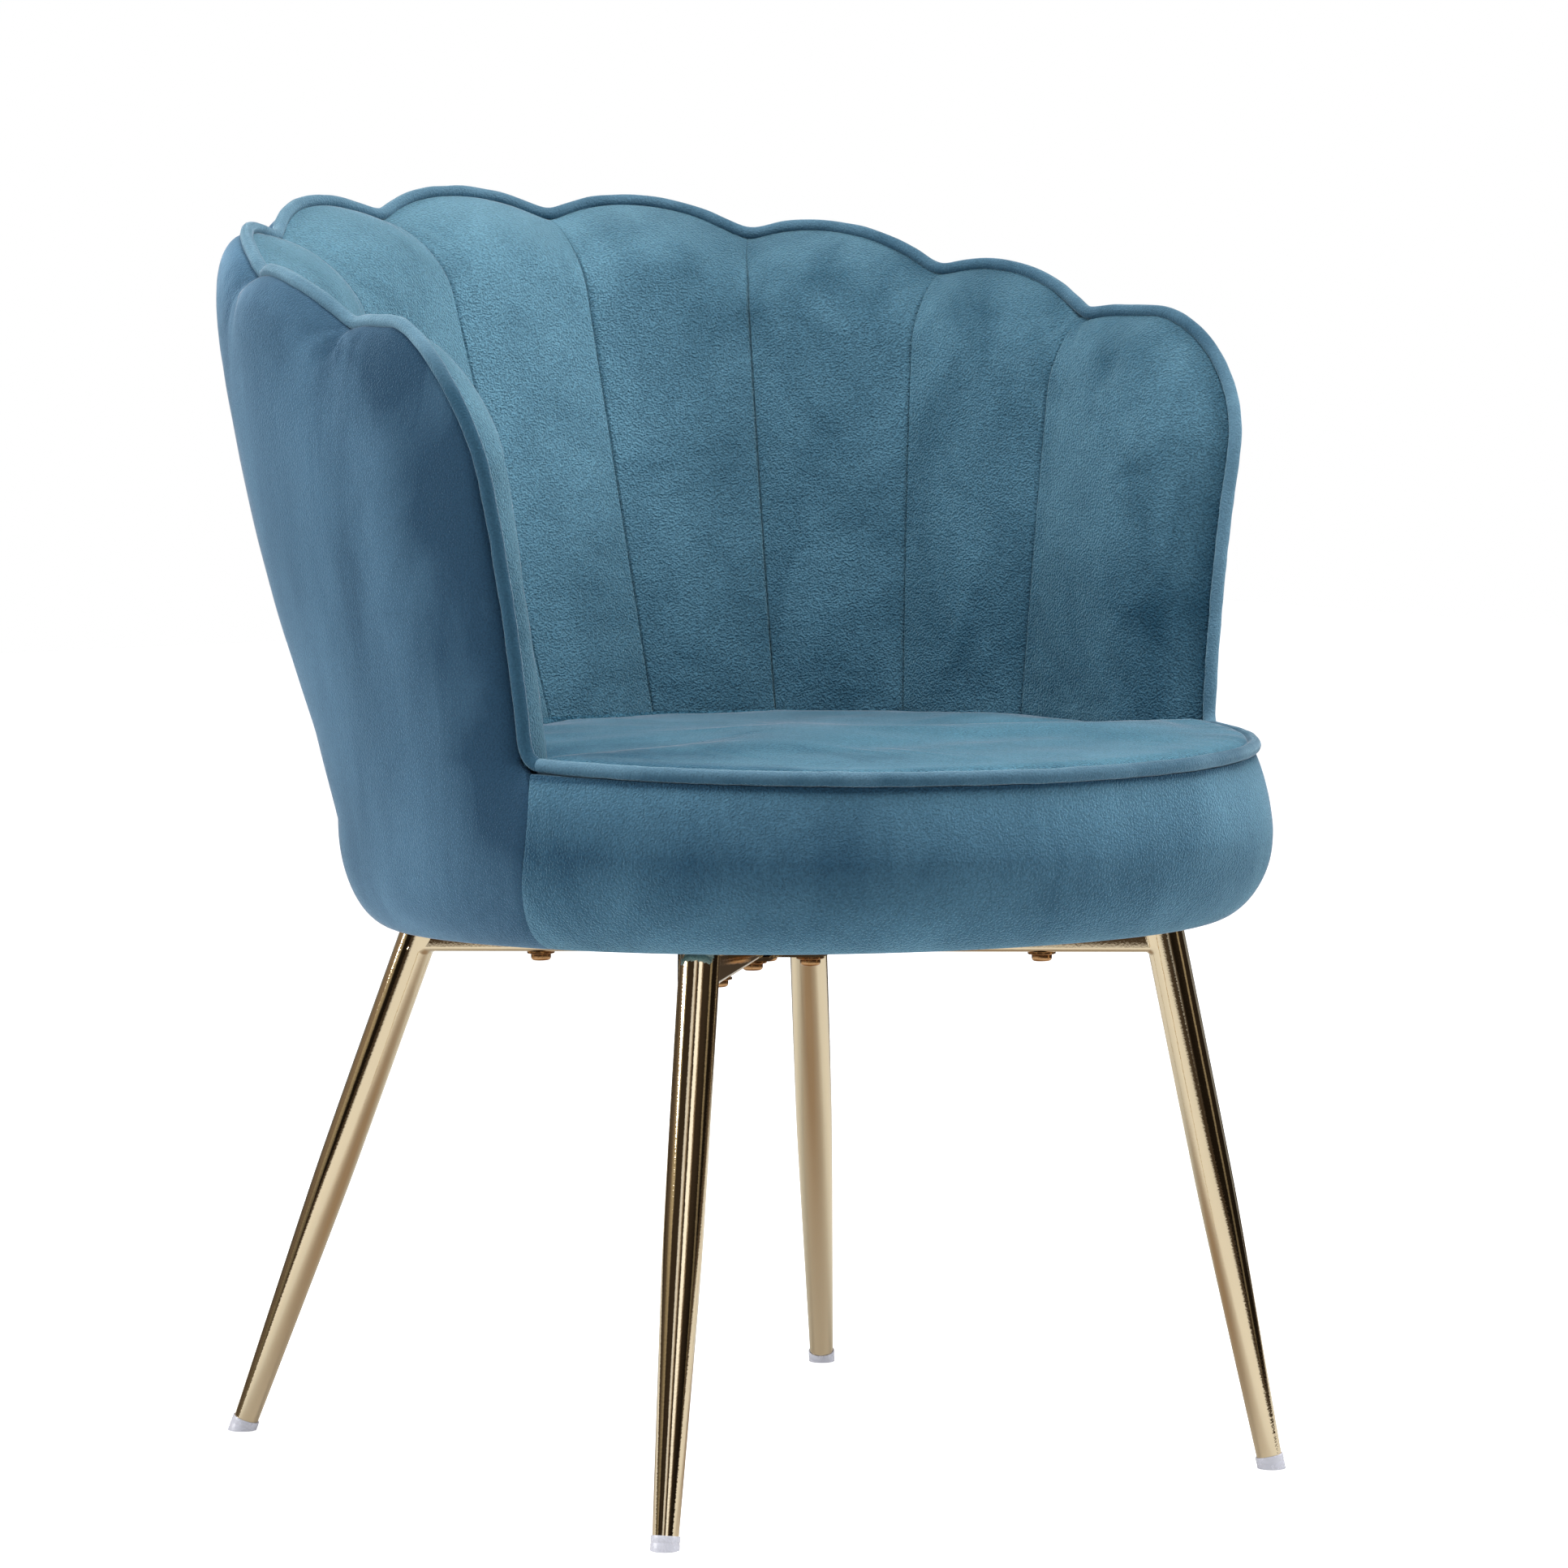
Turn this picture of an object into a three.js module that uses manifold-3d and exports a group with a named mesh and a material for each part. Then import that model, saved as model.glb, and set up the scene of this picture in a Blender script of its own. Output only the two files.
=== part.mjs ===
// Scallop back chair: a padded barrel back with nine sewn channels and a scalloped, piped top edge,
// a round piped seat, and a tapered tube leg frame with diagonal cross bars.
// Millimetres, +Z up. The chair faces -Y, and left and right are as seen from in front (left is -X).

import * as THREE from 'three';
import { mergeVertices } from 'three/addons/utils/BufferGeometryUtils.js';
import Module from 'manifold-3d';

const wasm = await Module();
wasm.setup();

// General clearances
const gap = 0.3;          // between pieces that touch on the real chair
const softGap = 0.8;      // between padded pieces
const cutOverrun = 5;     // how far every cutting tool runs past its work

// Plan of the upholstered body
const body = {
  rimDrop: 3.2,           // the padded rim's underside lies this far below the seat board's
  rimRise: 65.8,          // from that underside up to where the base is widest
  seatRise: 41,           // from the shell's knuckle up to the seat, where the wings start
  padTopRise: 279,        // from the seat up to where the back pads reach their upper thickness
  wideRise: 229,          // from the seat up to where the shell reaches its full width
  centreY: -42,           // plan centre of the base
  bellyOut: 37.5,         // the base is this much wider at each side than the shell's foot
  frontReach: 325,        // from the plan centre to the front of the base
  upperFrontReach: 600,   // front half axis of the flatter plan at the wings
  rimTuck: 38,            // how far the base rolls under to its rim
  frontPower: 2.1,        // how square the front of the plan is: 2 is an ellipse
  outerFlare: 0.107,      // share: outer radius gained over height
  outerLean: 0.28,        // share: outer plan centre moved back over height
  outerFullness: 5,       // extra belly of the outer cover half way up
};

// The line of the piping, which every back piece hangs from
const core = {
  footRadius: 250.3,      // where the back shell stands, which all other radii follow
  seatOut: 25.7,          // wider than that at the seat
  topOut: 40.2,           // and at the top of the pads
  footRise: 1.6,          // above the seat board
  kneeRise: 64,           // from its foot up to its knuckle, below which the shell slopes in
  lean: 0.27,             // share: plan centre moved back over height
  wingTuck: 21,           // how far the wing fronts turn in at the seat
  wingFlare: 11,          // how far the wing fronts turn out at the height where the shell is widest
  wingLength: 145,        // from the plan centre forward to the wing front
};

// Scalloped top edge and wings
const scallop = {
  petalAngle: THREE.MathUtils.degToRad(27.2),
  sideRise: 264,          // from the seat up to the valleys' plane, above the plan centre
  backRise: 61.5,         // extra height of that plane at the back
  petalRise: 16,
  petalPower: 2.1,        // roundness of a petal's outline
  valleyDraw: 5,          // how far the piping is drawn in at a valley
  valleyFade: 36,         // height over which that fades out
  valleyRun: 26,          // length over which the wing rises out of its valley
  wingDrop: 1,            // the wing's top lies this far below the valleys' plane
  wingFrontSeat: 140,     // wing front edge before the origin, at the seat
  wingFrontTop: 133,      // and below its rounded corner
  wingCorner: 88,         // size of that corner
  cornerPower: 1.65,
  seamForward: 16,        // the side seam below the wing comes forward with the swelling pad
  seamReturn: 21,         // and runs back this much on its way down to the rim
  seamPower: 1.8,
};

// Thickness of the back pads from the piping line inward
const pad = {
  backSeat: 70,
  backTop: 62,
  sideSeat: 50,
  sideTop: 30,
  wingFront: 33,
  puff: 8,                // extra thickness in the middle of a channel
  puffPower: 2.2,
  innerRoll: 42,          // height of the rounded inner top edge
  outerRoll: 92,          // height of the rounded outer top edge
  seatRoll: 45,           // the same at the seat
  shellRoom: 22,          // the pads' backs start to make room for the shell this far from the edge
  shellRoomFull: 34,      // and do so fully from here
  seamCloseShare: 0.855,  // seams stand this much closer together at the seat
};

const shell = { thickness: 12, edgeInset: 42, wingInset: 64 };
const piping = { radius: 3.5, sides: 6 };
const edgeInset = piping.radius + piping.radius * 0.3;

// Seat
const seat = {
  pipingCentreY: -90,
  pipingRadius: 265.5,
  pipingDrop: 10,         // the piping's middle at the front, below where the wings start
  pipingSideRise: 6,      // the piping climbs this much from the front to the wings
  crown: 12,
  crownPower: 2.6,
  rimTopShare: 0.5,       // the cover leaves the piping this share of its radius above its centre
  backRimDrop: 4,         // the cushion's rim against the back, below where the wings start
  centreY: -80,
  apronRoom: 0.9,         // the apron's inner wall stands clear of the shell's foot
  foamRoom: 3.3,          // and the foam block clear of the shell
};

// Seat board and what is under it; the whole leg frame leans back a little
const base = {
  tilt: THREE.MathUtils.degToRad(1.69),
  pivotY: -10,
  boardBottom: 352.4,     // height of the seat board's underside, from which all heights follow
  boardThickness: 12,
  coverThickness: 1,
  coverInset: 4,
  blockWidth: 42,
  blockDepth: 18,
  blockHeight: 30,
};

const leg = {
  radius: 12.5,
  footRadius: 8,
  wall: 1.5,
  frontTopDrop: 0.4,      // the tube's top end, below the seat board's underside
  backTopDrop: 9.4,
  planDrop: 2.4,          // below it too: the level of the plan points that fix each leg's line
  taperHeight: 175,
  footHeight: 6.5,
  frontInsetX: 72.3, frontInsetY: 49.3,   // the top's plan point, inside the shell's foot radius
  frontSplayX: 56, frontSplayY: 44,       // and how far the foot stands outside that point
  backInsetX: 100.3, backInsetY: 99.3,
  backSplayX: 84, backSplayY: 100,
};

const cap = { radius: 9, plugRadius: 6, height: 8.5, plugHeight: 22 };

const bar = { width: 20, height: 25, wall: 1.5, corner: 3, holeRadius: 3.4, outerBoltShare: 0.166 };
const plate = { arm: 43, width: 24, thickness: 3, boltOffset: 33 };
const bolt = {
  radius: 3, headRadius: 6.5, headHeight: 4.2, socketRadius: 2.3, socketDepth: 2.4, tipAllowance: 9,
};
const washer = { radius: 9, thickness: 1.6, holeRadius: 3.3 };
const nut = { flangeRadius: 9.5, flangeThickness: 1.2, barrelRadius: 4, length: 10 };

// Radii of the plan, each worked out from the shell's foot
const radiusOf = {};
radiusOf.seat = core.footRadius + core.seatOut;
radiusOf.top = core.footRadius + core.topOut;
radiusOf.base = core.footRadius + body.bellyOut;
radiusOf.board = core.footRadius - 2 * gap;
radiusOf.apronWall = core.footRadius + seat.apronRoom;
radiusOf.foam = core.footRadius - shell.thickness - seat.foamRoom;

// Plan points of the legs on the right: the top's, and the foot's outside it
const topOf = {};
topOf.frontX = core.footRadius - leg.frontInsetX;
topOf.frontY = core.footRadius - leg.frontInsetY;
topOf.backX = core.footRadius - leg.backInsetX;
topOf.backY = core.footRadius - leg.backInsetY;
const footOf = {};
footOf.frontX = topOf.frontX + leg.frontSplayX;
footOf.frontY = topOf.frontY + leg.frontSplayY;
footOf.backX = topOf.backX + leg.backSplayX;
footOf.backY = topOf.backY + leg.backSplayY;

// Heights above the floor, each worked out from the one that carries it
const heightOf = {};
heightOf.rim = base.boardBottom - body.rimDrop;
heightOf.widest = heightOf.rim + body.rimRise;
heightOf.shellFoot = base.boardBottom + base.boardThickness + core.footRise;
heightOf.knuckle = heightOf.shellFoot + core.kneeRise;
heightOf.seat = heightOf.knuckle + body.seatRise;
heightOf.padTop = heightOf.seat + body.padTopRise;
heightOf.wide = heightOf.seat + body.wideRise;
heightOf.side = heightOf.seat + scallop.sideRise;
heightOf.wingTop = heightOf.side - scallop.wingDrop;
heightOf.seatPiping = heightOf.seat - seat.pipingDrop;
heightOf.backRim = heightOf.seat - seat.backRimDrop;
heightOf.legPlan = base.boardBottom - leg.planDrop;
heightOf.frontLegTop = base.boardBottom - leg.frontTopDrop;
heightOf.backLegTop = base.boardBottom - leg.backTopDrop;

// Facet counts
const facets = {
  petal: 6, wing: 5, shell: 50, seatFront: 18, apron: 22, backPiping: 150, seatPiping: 48,
  legSides: 20, smallSides: 12, discSides: 48, barCorner: 2,
};

// Materials
const velvet = new THREE.MeshStandardMaterial({ color: 0x4a7f99, roughness: 0.85, metalness: 0 });
const velvetTrim = new THREE.MeshStandardMaterial({ color: 0x47748f, roughness: 0.85, metalness: 0 });
const foam = new THREE.MeshStandardMaterial({ color: 0xe9dfc4, roughness: 0.95, metalness: 0 });
const plywood = new THREE.MeshStandardMaterial({ color: 0xc9a874, roughness: 0.7, metalness: 0 });
const liner = new THREE.MeshStandardMaterial({ color: 0x1f2022, roughness: 0.95, metalness: 0 });
const gold = new THREE.MeshStandardMaterial({ color: 0xcbb07a, roughness: 0.12, metalness: 1 });
const brassBolt = new THREE.MeshStandardMaterial({ color: 0xc98f55, roughness: 0.2, metalness: 1 });
const zinc = new THREE.MeshStandardMaterial({ color: 0xb9bcc0, roughness: 0.35, metalness: 1 });
const clearPlastic = new THREE.MeshStandardMaterial({ color: 0xe6e6ea, roughness: 0.3, metalness: 0 });

// Small helpers
const clamp = THREE.MathUtils.clamp;
const lerp = THREE.MathUtils.lerp;
const v3 = (x, y, z) => new THREE.Vector3(x, y, z);

function signedVolume(geometry) {
  const p = geometry.getAttribute('position');
  const index = geometry.getIndex();
  let sum = 0;
  const a = new THREE.Vector3();
  const b = new THREE.Vector3();
  const c = new THREE.Vector3();
  for (let i = 0; i < index.count; i += 3) {
    a.fromBufferAttribute(p, index.getX(i));
    b.fromBufferAttribute(p, index.getX(i + 1));
    c.fromBufferAttribute(p, index.getX(i + 2));
    sum += a.dot(b.cross(c));
  }
  return sum;
}

// A closed geometry from points and faces, turned so that its faces point out.
function closedGeometry(points, faces) {
  const geometry = new THREE.BufferGeometry();
  const places = points.flatMap((q) => [q.x, q.y, q.z]);
  geometry.setAttribute('position', new THREE.Float32BufferAttribute(places, 3));
  geometry.setIndex(faces.flat());
  if (signedVolume(geometry) < 0) {
    geometry.setIndex(faces.flatMap(([i, j, k]) => [i, k, j]));
  }
  return geometry;
}

// The solid between two grids of the same size, one over the other: grid[row][column].
function slabBetween(outer, inner) {
  const rows = outer.length;
  const columns = outer[0].length;
  const points = [...outer.flat(), ...inner.flat()];
  const faces = [];
  const top = (r, c) => r * columns + c;
  const low = (r, c) => rows * columns + r * columns + c;
  const quad = (a, b, c, d) => faces.push([a, b, c], [a, c, d]);
  for (let r = 0; r + 1 < rows; r++) {
    for (let c = 0; c + 1 < columns; c++) {
      quad(top(r, c), top(r, c + 1), top(r + 1, c + 1), top(r + 1, c));
      quad(low(r, c), low(r + 1, c), low(r + 1, c + 1), low(r, c + 1));
    }
    quad(top(r, 0), top(r + 1, 0), low(r + 1, 0), low(r, 0));
    quad(top(r, columns - 1), low(r, columns - 1), low(r + 1, columns - 1), top(r + 1, columns - 1));
  }
  for (let c = 0; c + 1 < columns; c++) {
    quad(top(0, c), low(0, c), low(0, c + 1), top(0, c + 1));
    quad(top(rows - 1, c), top(rows - 1, c + 1), low(rows - 1, c + 1), low(rows - 1, c));
  }
  return closedGeometry(points, faces);
}

// The solid inside a stack of closed rings, closed by a fan at each end.
function stackOfRings(rings, lowPoint, highPoint) {
  const count = rings[0].length;
  const points = [...rings.flat(), lowPoint, highPoint];
  const low = points.length - 2;
  const high = points.length - 1;
  const last = (rings.length - 1) * count;
  const faces = [];
  for (let i = 0; i < count; i++) {
    const j = (i + 1) % count;
    faces.push([low, j, i], [high, last + i, last + j]);
    for (let r = 0; r + 1 < rings.length; r++) {
      const a = r * count;
      const b = a + count;
      faces.push([a + i, a + j, b + j], [a + i, b + j, b + i]);
    }
  }
  return closedGeometry(points, faces);
}

function toManifold(geometry) {
  const bare = geometry.clone();
  bare.deleteAttribute('normal');
  bare.deleteAttribute('uv');
  const merged = mergeVertices(bare);
  const vertProperties = new Float32Array(merged.getAttribute('position').array);
  const triVerts = new Uint32Array(merged.getIndex().array);
  return new wasm.Manifold(new wasm.Mesh({ numProp: 3, vertProperties, triVerts }));
}

function fromManifold(solid) {
  const mesh = solid.getMesh();
  const geometry = new THREE.BufferGeometry();
  geometry.setAttribute('position', new THREE.Float32BufferAttribute(mesh.vertProperties, 3));
  geometry.setIndex(Array.from(mesh.triVerts));
  return geometry;
}

function cutAway(work, ...tools) {
  return fromManifold(tools.reduce((solid, tool) => solid.subtract(toManifold(tool)), toManifold(work)));
}

// A lathe about +Z from [radius, height] pairs that close on themselves or start and end on the axis.
function turned(profile, sides) {
  const points = profile.map(([radius, height]) => new THREE.Vector2(radius, height));
  const geometry = new THREE.LatheGeometry(points, sides);
  return geometry.rotateX(Math.PI / 2);
}

function ringProfile(inner, outer, low, high) {
  return [[inner, low], [outer, low], [outer, high], [inner, high], [inner, low]];
}

function discProfile(radius, low, high) {
  return [[0, low], [radius, low], [radius, high], [0, high]];
}

// Turns a geometry made about +Z so that its axis runs from one point towards another.
function alongAxis(geometry, from, to) {
  const direction = to.clone().sub(from).normalize();
  const turn = new THREE.Quaternion().setFromUnitVectors(v3(0, 0, 1), direction);
  return geometry.applyQuaternion(turn).translate(from.x, from.y, from.z);
}

function sweptCord(points, steps) {
  const path = new THREE.CatmullRomCurve3(points, false, 'centripetal');
  const outline = [];
  for (let i = 0; i < piping.sides; i++) {
    const angle = (2 * Math.PI * i) / piping.sides;
    outline.push(new THREE.Vector2(piping.radius * Math.cos(angle), piping.radius * Math.sin(angle)));
  }
  const settings = { steps, extrudePath: path, bevelEnabled: false };
  return new THREE.ExtrudeGeometry(new THREE.Shape(outline), settings);
}

const chair = new THREE.Group();

function addPiece(name, geometry, material, parent = chair) {
  const mesh = new THREE.Mesh(geometry, material);
  mesh.name = name;
  parent.add(mesh);
  return mesh;
}

// Plan curves. A station is a length along the piping line, from the middle of the back;
// past a quarter turn it runs straight forward along the wing.
const quarterStation = radiusOf.top * (Math.PI / 2);
const seamStation = (count) => radiusOf.top * scallop.petalAngle * count;
const lastSeam = seamStation(3.5);

const coreCentre = (z) => body.centreY + core.lean * (Math.max(z, heightOf.shellFoot) - heightOf.widest);

function coreRadius(z) {
  const height = Math.max(z, heightOf.knuckle);
  const share = (height - heightOf.seat) / (heightOf.padTop - heightOf.seat);
  const radius = lerp(radiusOf.seat, radiusOf.top, share);
  const drop = clamp((heightOf.knuckle - z) / (heightOf.knuckle - heightOf.shellFoot), 0, 1);
  return lerp(radius, core.footRadius, drop);
}

function wingTurn(z) {
  const height = Math.max(z, heightOf.knuckle);
  const share = (height - heightOf.seat) / (heightOf.wide - heightOf.seat);
  return lerp(core.wingTuck, -core.wingFlare, share);
}

// 0 at a valley and 1 at the middle of a petal, for a station in petals from the middle.
function petalShare(petals) {
  const across = Math.abs(petals - Math.round(petals)) * 2;
  return 1 - across ** scallop.petalPower;
}

function topHeight(station) {
  const s = Math.abs(station);
  const valley = heightOf.side + scallop.backRise * Math.cos(s / radiusOf.top);
  if (s <= lastSeam) {
    return valley + scallop.petalRise * petalShare(s / seamStation(1));
  }
  const lastValley = heightOf.side + scallop.backRise * Math.cos(lastSeam / radiusOf.top);
  const run = clamp((s - lastSeam) / scallop.valleyRun, 0, 1);
  return lerp(lastValley, heightOf.wingTop, 1 - (1 - run) ** scallop.petalPower);
}

// y of the wing's front edge, and below the wing of the side seam.
const cornerHeight = heightOf.wingTop - scallop.wingCorner;
const wingFootHeight = heightOf.seatPiping + seat.pipingSideRise;

function frontEdgeY(z) {
  if (z >= cornerHeight) {
    const up = clamp((z - cornerHeight) / scallop.wingCorner, 0, 1);
    const out = (1 - up ** scallop.cornerPower) ** (1 / scallop.cornerPower);
    return -scallop.wingFrontTop + scallop.wingCorner * (1 - out);
  }
  if (z >= wingFootHeight) {
    const up = (z - wingFootHeight) / (cornerHeight - wingFootHeight);
    return -lerp(scallop.wingFrontSeat, scallop.wingFrontTop, up);
  }
  const below = wingFootHeight - z;
  const swollen = scallop.seamForward * rollShare(below, pad.seatRoll);
  const back = scallop.seamReturn * (below / (wingFootHeight - heightOf.rim)) ** scallop.seamPower;
  return -scallop.wingFrontSeat - swollen + back;
}

const frontStation = (z) => quarterStation + coreCentre(z) - frontEdgeY(z);

// The piping line on the right half, from the middle of the back to the wing's foot,
// as points [station, height].
function edgeLine(perPetal) {
  const line = [];
  const petals = 3.5;
  const count = Math.round(petals * perPetal * 2);
  for (let i = 0; i <= count; i++) {
    const s = (lastSeam * i) / count;
    line.push([s, topHeight(s)]);
  }
  const cornerStart = frontStation(heightOf.wingTop);
  for (let i = 1; i <= perPetal; i++) {
    const s = lerp(lastSeam, cornerStart, i / perPetal);
    line.push([s, topHeight(s)]);
  }
  for (let i = 1; i <= perPetal * 2; i++) {
    const turn = ((Math.PI / 2) * i) / (perPetal * 2);
    const z = cornerHeight + scallop.wingCorner * Math.cos(turn) ** (2 / scallop.cornerPower);
    line.push([frontStation(z), z]);
  }
  for (let i = 1; i <= perPetal; i++) {
    const z = lerp(cornerHeight, wingFootHeight, i / perPetal);
    line.push([frontStation(z), z]);
  }
  return line;
}

const pipingLine = edgeLine(8);
const bottomFrontStation = quarterStation + coreCentre(heightOf.knuckle) + scallop.wingFrontSeat;
const padLine = [...pipingLine, [bottomFrontStation, heightOf.knuckle]];

// Distance of a place on the shell from the piping line, or from the rounded edge of the pads,
// which goes on below the wing's foot to the bottom of the pads.
function edgeDistance(station, z, line = pipingLine) {
  const s = Math.abs(station);
  let best = Infinity;
  for (let i = 0; i + 1 < line.length; i++) {
    const [s0, z0] = line[i];
    const [s1, z1] = line[i + 1];
    const length = (s1 - s0) ** 2 + (z1 - z0) ** 2;
    const t = clamp(((s - s0) * (s1 - s0) + (z - z0) * (z1 - z0)) / length, 0, 1);
    best = Math.min(best, Math.hypot(s - lerp(s0, s1, t), z - lerp(z0, z1, t)));
  }
  return best;
}

// A quarter ellipse: 0 at the edge, 1 from the given depth on.
const rollShare = (distance, depth) => Math.sqrt(1 - (1 - clamp(distance / depth, 0, 1)) ** 2);

function outwardAt(station) {
  const angle = clamp(station / radiusOf.top, -Math.PI / 2, Math.PI / 2);
  return v3(Math.sin(angle), Math.cos(angle), 0);
}

function corePoint(station, z) {
  const s = Math.abs(station);
  const side = Math.sign(station) || 1;
  const centre = coreCentre(z);
  const below = Math.max(0, topHeight(s) - z);
  const petals = s / seamStation(1);
  const pastSeam = Math.max(0, 1 - (s - lastSeam) / scallop.valleyFade);
  const drawn = s <= lastSeam ? 1 - petalShare(petals) : pastSeam;
  const fade = Math.max(0, 1 - below / scallop.valleyFade) ** 2;
  const radius = coreRadius(z) - scallop.valleyDraw * drawn * fade;
  if (s <= quarterStation) {
    const angle = s / radiusOf.top;
    return v3(side * radius * Math.sin(angle), centre + radius * Math.cos(angle), z);
  }
  const forward = s - quarterStation;
  const x = radius - wingTurn(z) * (forward / core.wingLength) ** 2;
  return v3(side * x, centre - forward, z);
}

// The outer face of the upholstery, before it rolls over to the piping.
function rimRoll(z) {
  const span = heightOf.widest - heightOf.rim;
  const depth = clamp((heightOf.widest - z) / span, 0, 1);
  return body.rimTuck * (1 - Math.sqrt(1 - depth ** 2));
}

function outerPlan(z) {
  const above = Math.max(0, z - heightOf.widest);
  const share = clamp((z - heightOf.seat) / (heightOf.wide - heightOf.seat), 0, 1);
  const belly = body.outerFullness * Math.sin(Math.PI * share);
  return {
    centre: body.centreY + body.outerLean * above,
    radius: radiusOf.base + body.outerFlare * above + belly - rimRoll(z),
    front: lerp(body.frontReach, body.upperFrontReach, share) - rimRoll(z),
  };
}

// Half width of the squared front of the plan, as a share, at a share of its reach.
function frontShare(ahead) {
  return (1 - clamp(ahead, 0, 1) ** body.frontPower) ** (1 / body.frontPower);
}

function outerFullPoint(station, z) {
  const s = Math.abs(station);
  const side = Math.sign(station) || 1;
  const plan = outerPlan(z);
  if (s <= quarterStation) {
    const angle = s / radiusOf.top;
    return v3(side * plan.radius * Math.sin(angle), plan.centre + plan.radius * Math.cos(angle), z);
  }
  const forward = s - quarterStation;
  const reach = coreCentre(z) - frontEdgeY(z);
  const y = coreCentre(z) - forward + (plan.centre - coreCentre(z)) * (1 - clamp(forward / reach, 0, 1));
  return v3(side * plan.radius * frontShare((plan.centre - y) / plan.front), y, z);
}

function outerRollDepth(z) {
  return lerp(pad.seatRoll, pad.outerRoll, clamp((z - wingFootHeight) / pad.outerRoll, 0, 1));
}

function outerPoint(station, z) {
  const inner = corePoint(station, z);
  return inner.lerp(outerFullPoint(station, z), rollShare(edgeDistance(station, z), outerRollDepth(z)));
}

// Inner face of the back pads.
function seamShare(z) {
  const share = clamp((z - heightOf.seat) / (heightOf.padTop - heightOf.seat), -1, 1);
  return lerp(pad.seamCloseShare, 1, Math.max(share, 0)) + (1 - pad.seamCloseShare) * Math.min(share, 0);
}

function padDepth(station, z, petals) {
  const s = Math.abs(station);
  const up = clamp((z - heightOf.seat) / (heightOf.padTop - heightOf.seat), 0, 1);
  const atSide = lerp(pad.sideSeat, pad.sideTop, up);
  const atBack = lerp(pad.backSeat, pad.backTop, up);
  const behind = Math.max(0, Math.cos(Math.min(s, quarterStation) / radiusOf.top));
  let depth = lerp(atSide, atBack, behind);
  if (s > quarterStation) {
    depth = lerp(atSide, pad.wingFront, clamp((s - quarterStation) / core.wingLength, 0, 1));
  }
  const across = Math.abs(petals - Math.round(petals)) * 2;
  depth += pad.puff * (1 - Math.min(across, 1) ** pad.puffPower);
  return depth * rollShare(edgeDistance(station, z, padLine), pad.innerRoll);
}

function innerPoint(station, z, petals) {
  return corePoint(station, z).addScaledVector(outwardAt(station), -padDepth(station, z, petals));
}

// The pads' back face leaves room for the shell, except near the edge where the shell has ended.
function padBackPoint(station, z) {
  const distance = edgeDistance(station, z, padLine);
  const inset = clamp((distance - pad.shellRoom) / (pad.shellRoomFull - pad.shellRoom), 0, 1);
  const depth = lerp(2 * softGap, shell.thickness + softGap, inset);
  return corePoint(station, z).addScaledVector(outwardAt(station), -depth);
}

// A grid over a patch with four bounding curves, each given as [station, height] for 0 to 1.
function patchGrid(topCurve, bottomCurve, leftCurve, rightCurve, columnShares, rowShares) {
  const blend = (a, b, t) => [lerp(a[0], b[0], t), lerp(a[1], b[1], t)];
  return rowShares.map((v) => columnShares.map((u) => {
    const vertical = blend(topCurve(u), bottomCurve(u), v);
    const across = blend(leftCurve(v), rightCurve(v), u);
    const topRow = blend(topCurve(0), topCurve(1), u);
    const lowRow = blend(bottomCurve(0), bottomCurve(1), u);
    const corners = blend(topRow, lowRow, v);
    return [vertical[0] + across[0] - corners[0], vertical[1] + across[1] - corners[1]];
  }));
}

// The wing's rounded corner is shared between the top and the front curve, half each.
const wingArc = (share) => {
  const turn = (Math.PI / 2) * share;
  const size = scallop.wingCorner - edgeInset;
  const z = cornerHeight + size * Math.cos(turn) ** (2 / scallop.cornerPower);
  const y = -scallop.wingFrontTop + scallop.wingCorner - size * Math.sin(turn) ** (2 / scallop.cornerPower);
  return [quarterStation + coreCentre(z) - y, z];
};

function wingTopCurve(from) {
  const start = frontStation(heightOf.wingTop);
  return (u) => {
    const turn = clamp((u - 0.5) * 2, 0, 1);
    if (turn > 0) return wingArc(turn / 2);
    const s = lerp(from, start, clamp(u * 2, 0, 1));
    return [s, topHeight(s) - edgeInset];
  };
}

function wingFrontCurve(bottom) {
  return (v) => {
    const turn = clamp(v / 0.2, 0, 1);
    if (turn < 1) return wingArc(0.5 + turn / 2);
    const z = lerp(cornerHeight, bottom, (v - 0.2) / 0.8);
    return [frontStation(z) - edgeInset, z];
  };
}

const steps = (count) => Array.from({ length: count + 1 }, (_, i) => i / count);

// Nine channels of the back, each a separate pad, numbered from the left wing to the right wing.
// Their rows run from the top edge to the seat, and one more row lies at the bottom behind the seat.
const channelRowShares = [0, 0.021, 0.064, 0.125, 0.25, 0.5, 0.76, 1];

function middleChannel(index) {
  const columns = steps(facets.petal);
  const row = (place, v, z) => columns.map((u) => {
    const station = seamStation(index - 0.5 + u);
    const height = z ?? lerp(topHeight(station) - edgeInset, heightOf.seat, v);
    const inset = (gap / 2) * (1 - 2 * u);
    return place(station * seamShare(height) + inset, height, index - 0.5 + u);
  });
  const build = (place) => [...channelRowShares.map((v) => row(place, v)), row(place, 1, heightOf.knuckle)];
  return slabBetween(build(innerPoint), build(padBackPoint));
}

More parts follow.
